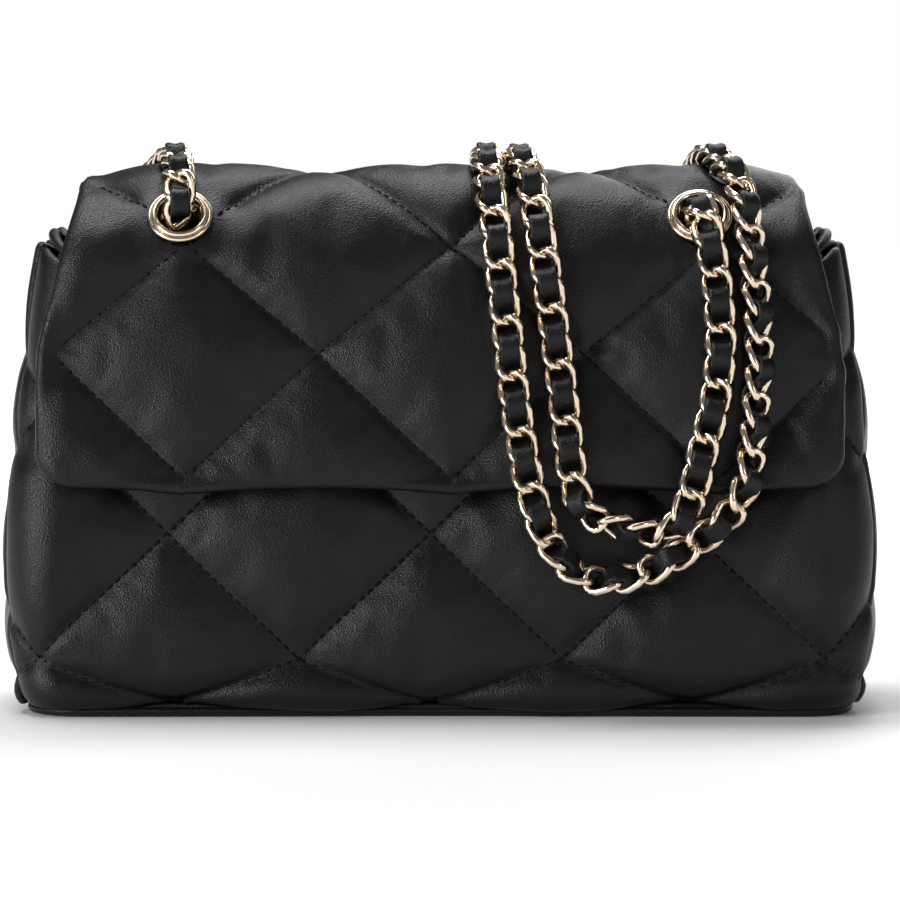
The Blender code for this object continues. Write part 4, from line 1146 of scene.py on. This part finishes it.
class BAG_OT_flap(bpy.types.Operator):
    """The quilted flap and its lining"""

    bl_idname = "bag.flap"
    bl_label = "Flap"
    bl_options = {"REGISTER", "UNDO"}

    def sheet(self, context):
        quilt = context.scene.bag_quilt
        rows = ((FLAP_EDGE_Z + 0.0015, 0), (0.1123, 1), (0.147, 2))
        knots = sorted((flap_run_at(z, True), -v) for z, v in rows)
        knots = [(0.0, -4.55), (RIDGE_RUN - 0.036, -4.0), (RIDGE_RUN - 0.001, -3.0), *knots]
        runs, vs = zip(*knots)

        shrink = 1 - FLAP_HEM / FLAP_LENGTH  # leaves room for the hem

        def place(u, run):
            points = flap_point(u, run * shrink)
            points[..., 0] = u * (flap_half(run) - FLAP_HEM)
            return points

        def pattern(u, run):
            return u * flap_half(run), np.interp(run, runs, vs)

        def edge(u, run):
            side = (1 - abs(u)) * flap_half(run)
            return np.minimum(np.minimum(side, FLAP_LENGTH - run), run)

        spots = [np.array(flap_frame(*spot).translation) for spot in EYELETS.values()]

        def flat(points, height):
            """Pressed down round the eyelets."""
            for spot in spots:
                away = np.linalg.norm(points - spot, axis=1)
                share = ease((away - EYELET_FLANGE - 0.0005) / 0.010)
                height = -EYELET_PRESS + (height + EYELET_PRESS) * share
            return height

        field = Quilt(quilt.flap_width, 0.0372, 0.0034)
        return Sheet(field, place, pattern, edge, flat, FLAP_DEEPEST)

    def stitches(self, sheet, context):
        places = []
        runs = np.linspace(0.003, FLAP_LENGTH - 0.003, 400)
        spots = [flap_frame(*spot).translation for spot in EYELETS.values()]
        _, v = sheet.pattern(np.zeros(len(runs)), runs)
        for slant in (1, -1):
            for index in range(-6, 7):
                # on this seam c is a function of v
                c = sheet.quilt.across + sheet.quilt.half * (2 * index - slant * v)
                u = c / flap_half(runs)
                inside = abs(u) < 1 - 0.004 / FLAP_EDGE_HALF
                if inside.sum() < 8:
                    continue
                points, normals, _ = sheet.points(u[inside], runs[inside], 0.00025)
                places += stitch_places(points, normals)
        return [place for place in places
                if all((place.translation - spot).length > EYELET_FLANGE + 0.0018
                       for spot in spots)]

    def execute(self, context):
        sheet = self.sheet(context)
        us = np.linspace(-1, 1, int(2 * FLAP_EDGE_HALF / CELL))
        corner = FLAP_LENGTH - FLAP_CORNER
        turn = np.radians(np.linspace(0, 90, 12))
        vs = np.concatenate([np.linspace(0.0005, corner, int(corner / CELL))[:-1],
                             corner + FLAP_CORNER * 0.998 * np.sin(turn)])
        spots = [flap_frame(*spot).translation for spot in EYELETS.values()]
        leather = sheet.build("flap_leather", us, vs, FLAP_HEM, 0.003,
                              [(spot, EYELET_CUT) for spot in spots])
        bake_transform(leather)
        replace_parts(leather, "flap")

        stitches = repeated("flap_stitches", stitch_mesh(), self.stitches(sheet, context),
                            "thread")
        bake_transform(stitches)
        self.lining()
        return {"FINISHED"}

    def lining(self):
        def place(u, run):
            return flap_point(u, run, FLAP_LINING_DEPTH, FLAP_LINING_INSET)

        us = np.linspace(-1, 1, 90)
        vs = np.linspace(0.0005, FLAP_LENGTH - FLAP_LINING_INSET, 80)
        bm, u, v = grid_mesh(us, vs)
        points, normals = surface(place, u, v)
        sag = 0.0003 * np.sin(u * 17 + v * 60) * np.sin(v * 130 + 2 * u)
        for vert, point in zip(bm.verts, points + normals * sag[:, None] - normals * 0.0003):
            vert.co = point
        face_out(bm)
        for spot in (flap_frame(*spot) for spot in EYELETS.values()):
            middle = spot @ Vector((0, 0, -FLAP_LINING_DEPTH))
            cut = [f for f in bm.faces if (f.calc_center_median() - middle).length < 0.0100]
            bmesh.ops.delete(bm, geom=cut, context="FACES")
        obj = to_object("flap_lining_cloth", bm, "lining cloth")
        skin = obj.modifiers.new("cloth", "SOLIDIFY")
        skin.thickness = 0.0006
        skin.offset = -1
        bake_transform(obj)
        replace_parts(obj, "flap_lining")


class BAG_OT_body(bpy.types.Operator):
    """The four quilted panels of the body"""

    bl_idname = "bag.body"
    bl_label = "Body panels"
    bl_options = {"REGISTER", "UNDO"}

    def execute(self, context):
        width = context.scene.bag_quilt.body_width
        for name, s_from, s_to, across in (
            ("front_panel", -0.8, 1.8, -0.0031), ("gusset_right", 1.8, 3.2, 0.0),
            ("back_panel", 3.2, 5.8, 0.0031), ("gusset_left", 5.8, 7.2, 0.0),
        ):
            self.panel(name, s_from, s_to, Quilt(width, 0.0395, across))
        return {"FINISHED"}

    def panel(self, name, s_from, s_to, quilt):
        level = 1.5
        fine = np.linspace(s_from, s_to, 400)
        points = body_point(fine, np.full(400, level))
        run = np.concatenate([[0], np.cumsum(np.linalg.norm(np.diff(points, axis=0), axis=1))])
        middle = np.interp((s_from + s_to) / 2, fine, run)
        length = run[-1]
        inset = 0.0019
        roll = 0.0173  # length of the whole turn at the foot

        def rise(s, t):
            wall = ROLL_HEIGHT + (t - 1) * (mouth_z(s) - ROLL_HEIGHT)
            return np.where(t < 1, ROLL_HEIGHT - (1 - t) * roll, wall)

        low = ROLL_HEIGHT - (1 - ROLL_STOP / (math.pi / 2)) * roll

        def pattern(s, t):
            v = np.interp(rise(s, t), (low, 0.0182, 0.0577, 0.0972, 0.1367),
                          (2.0, 1.0, 0.0, -1.0, -2.0))
            return np.interp(s, fine, run) - middle, v

        def edge(s, t):
            c = np.interp(s, fine, run)
            side = np.minimum(c, length - c)
            return np.minimum(side, np.minimum(mouth_z(s) - rise(s, t), rise(s, t) - low + 0.006))

        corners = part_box("snap_socket")
        snap = np.array((corners[0] + corners[1]) / 2)

        def fuller(points, height):
            """The sides bulge more than the frame's do."""
            side = ease((abs(points[:, 0]) - 0.100) / 0.028)
            height = height + 0.0024 * side * ease((points[:, 2] - 0.006) / 0.025)
            if name == "front_panel":
                # drawn flat under the snap
                away = np.linalg.norm(points - snap, axis=1)
                share = ease((away - 0.0080) / 0.0100)
                height = SNAP_BED + (height - SNAP_BED) * share
            return height

        sheet = Sheet(quilt, body_point, pattern, edge, fuller, PANEL_DEEPEST)
        cells = int(length / CELL)
        us = np.interp(np.linspace(inset, length - inset, cells), run, fine)
        foot = ROLL_STOP / (math.pi / 2)
        vs = np.concatenate([np.linspace(foot + 0.01, 1, 9)[:-1], np.linspace(1, 1.985, 96)])
        leather = sheet.build(name + "_leather", us, vs, 0.0017, 0.0025)
        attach(leather, BAG)
        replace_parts(leather, name)

        places = []
        t = np.linspace(foot + 0.06, 1.97, 300)
        centre = np.full(300, (s_from + s_to) / 2)
        for slant in (1, -1):
            for index in range(-5, 6):
                v = pattern(centre, t)[1]
                c = quilt.across + quilt.half * (2 * index - slant * v)
                inside = abs(c) < length / 2 - 0.004
                if inside.sum() < 8:
                    continue
                s = np.interp(c[inside] + middle, run, fine)
                # the mouth's height changes along the panel, so v is found again there
                wall = (rise(centre, t)[inside] - ROLL_HEIGHT) / (mouth_z(s) - ROLL_HEIGHT)
                level = np.where(t[inside] < 1, t[inside], 1 + wall)
                fits = level < 1.975
                if fits.sum() < 8:
                    continue
                points, normals, _ = sheet.points(s[fits], level[fits], 0.00025)
                places += stitch_places(points, normals)
        stitches = repeated(name + "_stitches", stitch_mesh(), places, "thread")
        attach(stitches, BAG)


class BAG_OT_edges(bpy.types.Operator):
    """The rolled edge of the mouth, the piping and the base"""

    bl_idname = "bag.edges"
    bl_label = "Edges and base"
    bl_options = {"REGISTER", "UNDO"}

    def execute(self, context):
        s = np.linspace(3.6, -2.6, 260)
        t = np.full(len(s), 2.0)
        _, normals = surface(body_point, s, np.full(len(s), 1.98))
        middle = body_point(s, t) - normals * 0.0029
        middle[:, 2] += BINDING_RADIUS + 0.0006
        binding = tube("mouth_edge", middle, BINDING_RADIUS, "plain leather")
        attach(binding, BAG)
        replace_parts(binding, "mouth_binding")

        s = np.linspace(0, 8, 400, endpoint=False)
        tuck = 1 - math.sin(ROLL_STOP)
        ring = outline(s, np.full(400, PIPING_RADIUS + 0.0003), np.full(400, tuck))
        inwards = CENTRE * (1, 1, 0) - ring * (1, 1, 0)
        inwards /= np.linalg.norm(inwards, axis=1, keepdims=True)
        piping = tube("foot_cord", ring + inwards * 0.0032, PIPING_RADIUS, "plain leather",
                      cyclic=True)
        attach(piping, BAG)
        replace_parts(piping, "foot_piping")
        base = soft_edges(merged_copy("base_panel", "base_leather", "plain leather"), 0.0008)
        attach(base, BAG)
        ride_cad(["base_board"], "stiff board")
        return {"FINISHED"}


class BAG_OT_eyelets(bpy.types.Operator):
    """The rolled eyelets and their washers"""

    bl_idname = "bag.eyelets"
    bl_label = "Eyelets"
    bl_options = {"REGISTER", "UNDO"}

    def execute(self, context):
        hole, rim = EYELET_HOLE, EYELET_FLANGE
        profile = [(hole, -0.0072), (hole + 0.0007, -0.0072), (hole + 0.0007, -0.0016),
                   (rim - 0.0006, -0.0016), (rim - 0.0001, -0.0011)]
        for centre, radius, height, first, last in (
            (rim - 0.0008, 0.0008, -0.0003, -10, 165),
            (hole + 0.0010, 0.0010, 0.0004, 20, 180),
        ):
            for angle in np.radians(np.linspace(first, last, 9)):
                profile.append((centre + radius * math.cos(angle),
                                height + radius * math.sin(angle)))
        for name, spot in EYELETS.items():
            bm = lathe(profile, 64)
            bmesh.ops.transform(bm, matrix=flap_frame(*spot), verts=bm.verts)
            obj = to_object("ring_" + name, bm, "pale gold")
            obj.data.set_sharp_from_angle(angle=math.radians(50))
            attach(obj, FLAP)
            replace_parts(obj, "eyelet_" + name)
            washer = merged_copy("eyelet_washer_" + name, "washer_" + name, "pale gold")
            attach(soft_edges(washer, 0.0002), FLAP)
        return {"FINISHED"}


class BAG_OT_inside(bpy.types.Operator):
    """The lining, the pockets, the snap and the zip"""

    bl_idname = "bag.inside"
    bl_label = "Inside"
    bl_options = {"REGISTER", "UNDO"}

    def execute(self, context):
        for node, name in (("lining", "lining_bag"), ("slip_pocket", "slip_pouch"),
                           ("zip_pocket", "zip_pouch")):
            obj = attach(merged_copy(node, name, "lining cloth", 50), BAG)
        for node, body in (("snap_socket", BAG), ("snap_stud", FLAP)):
            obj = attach(soft_edges(merged_copy(node, node + "_metal", "pale gold"), 0.0003),
                          body)
        ride_cad(["zip_tape_upper", "zip_tape_lower"], "zip tape")
        for row in ("upper", "lower"):
            low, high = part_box("zip_teeth_" + row)
            middle = (low + high) / 2
            size = (0.0012, (high.y - low.y) * 0.85, (high.z - low.z) * 0.85)
            bm = bmesh.new()
            bmesh.ops.create_cube(bm, size=1)
            bmesh.ops.scale(bm, vec=size, verts=bm.verts)
            bmesh.ops.bevel(bm, geom=bm.edges[:], offset=0.0003, segments=1, profile=0.5,
                            affect="EDGES", material=-1)
            shift = ZIP_PITCH / 2 if row == "lower" else 0
            xs = np.arange(low.x + 0.0008 + shift, high.x - 0.0006, ZIP_PITCH)
            places = [Matrix.Translation((x, middle.y, middle.z)) for x in xs]
            teeth = repeated("teeth_" + row, bm, places, "pale gold")
            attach(teeth, BAG)
            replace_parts(teeth, "zip_teeth_" + row)
        for node, body in (("zip_slider", SLIDER), ("zip_pull", PULL)):
            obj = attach(merged_copy(node, node + "_metal", "pale gold"), body)
        return {"FINISHED"}


class BAG_PT_panel(bpy.types.Panel):
    """The bag's pieces, in the 3D view's sidebar"""

    bl_label = "Quilted flap bag"
    bl_idname = "BAG_PT_panel"
    bl_space_type = "VIEW_3D"
    bl_region_type = "UI"
    bl_category = "Bag"

    def draw(self, context):
        for operator in OPERATORS:
            self.layout.operator(operator.bl_idname)
        for group in (context.scene.bag_quilt, context.scene.bag_strap, context.scene.bag_stage):
            box = self.layout.box()
            for name in group.__annotations__:
                box.prop(group, name)


OPERATORS = (BAG_OT_stage, BAG_OT_strap, BAG_OT_body, BAG_OT_flap, BAG_OT_edges,
             BAG_OT_eyelets, BAG_OT_inside)
CLASSES = (QuiltSettings, StrapSettings, StageSettings, *OPERATORS, BAG_PT_panel)


def register():
    for each in CLASSES:
        bpy.utils.register_class(each)
    bpy.types.Scene.bag_quilt = PointerProperty(type=QuiltSettings)
    bpy.types.Scene.bag_strap = PointerProperty(type=StrapSettings)
    bpy.types.Scene.bag_stage = PointerProperty(type=StageSettings)


def unregister():
    for name in ("bag_quilt", "bag_strap", "bag_stage"):
        delattr(bpy.types.Scene, name)
    for each in reversed(CLASSES):
        bpy.utils.unregister_class(each)


def main():
    register()
    for operator in OPERATORS:
        name = operator.bl_idname.split(".")[1]
        getattr(bpy.ops.bag, name)()


if __name__ == "__main__":
    main()
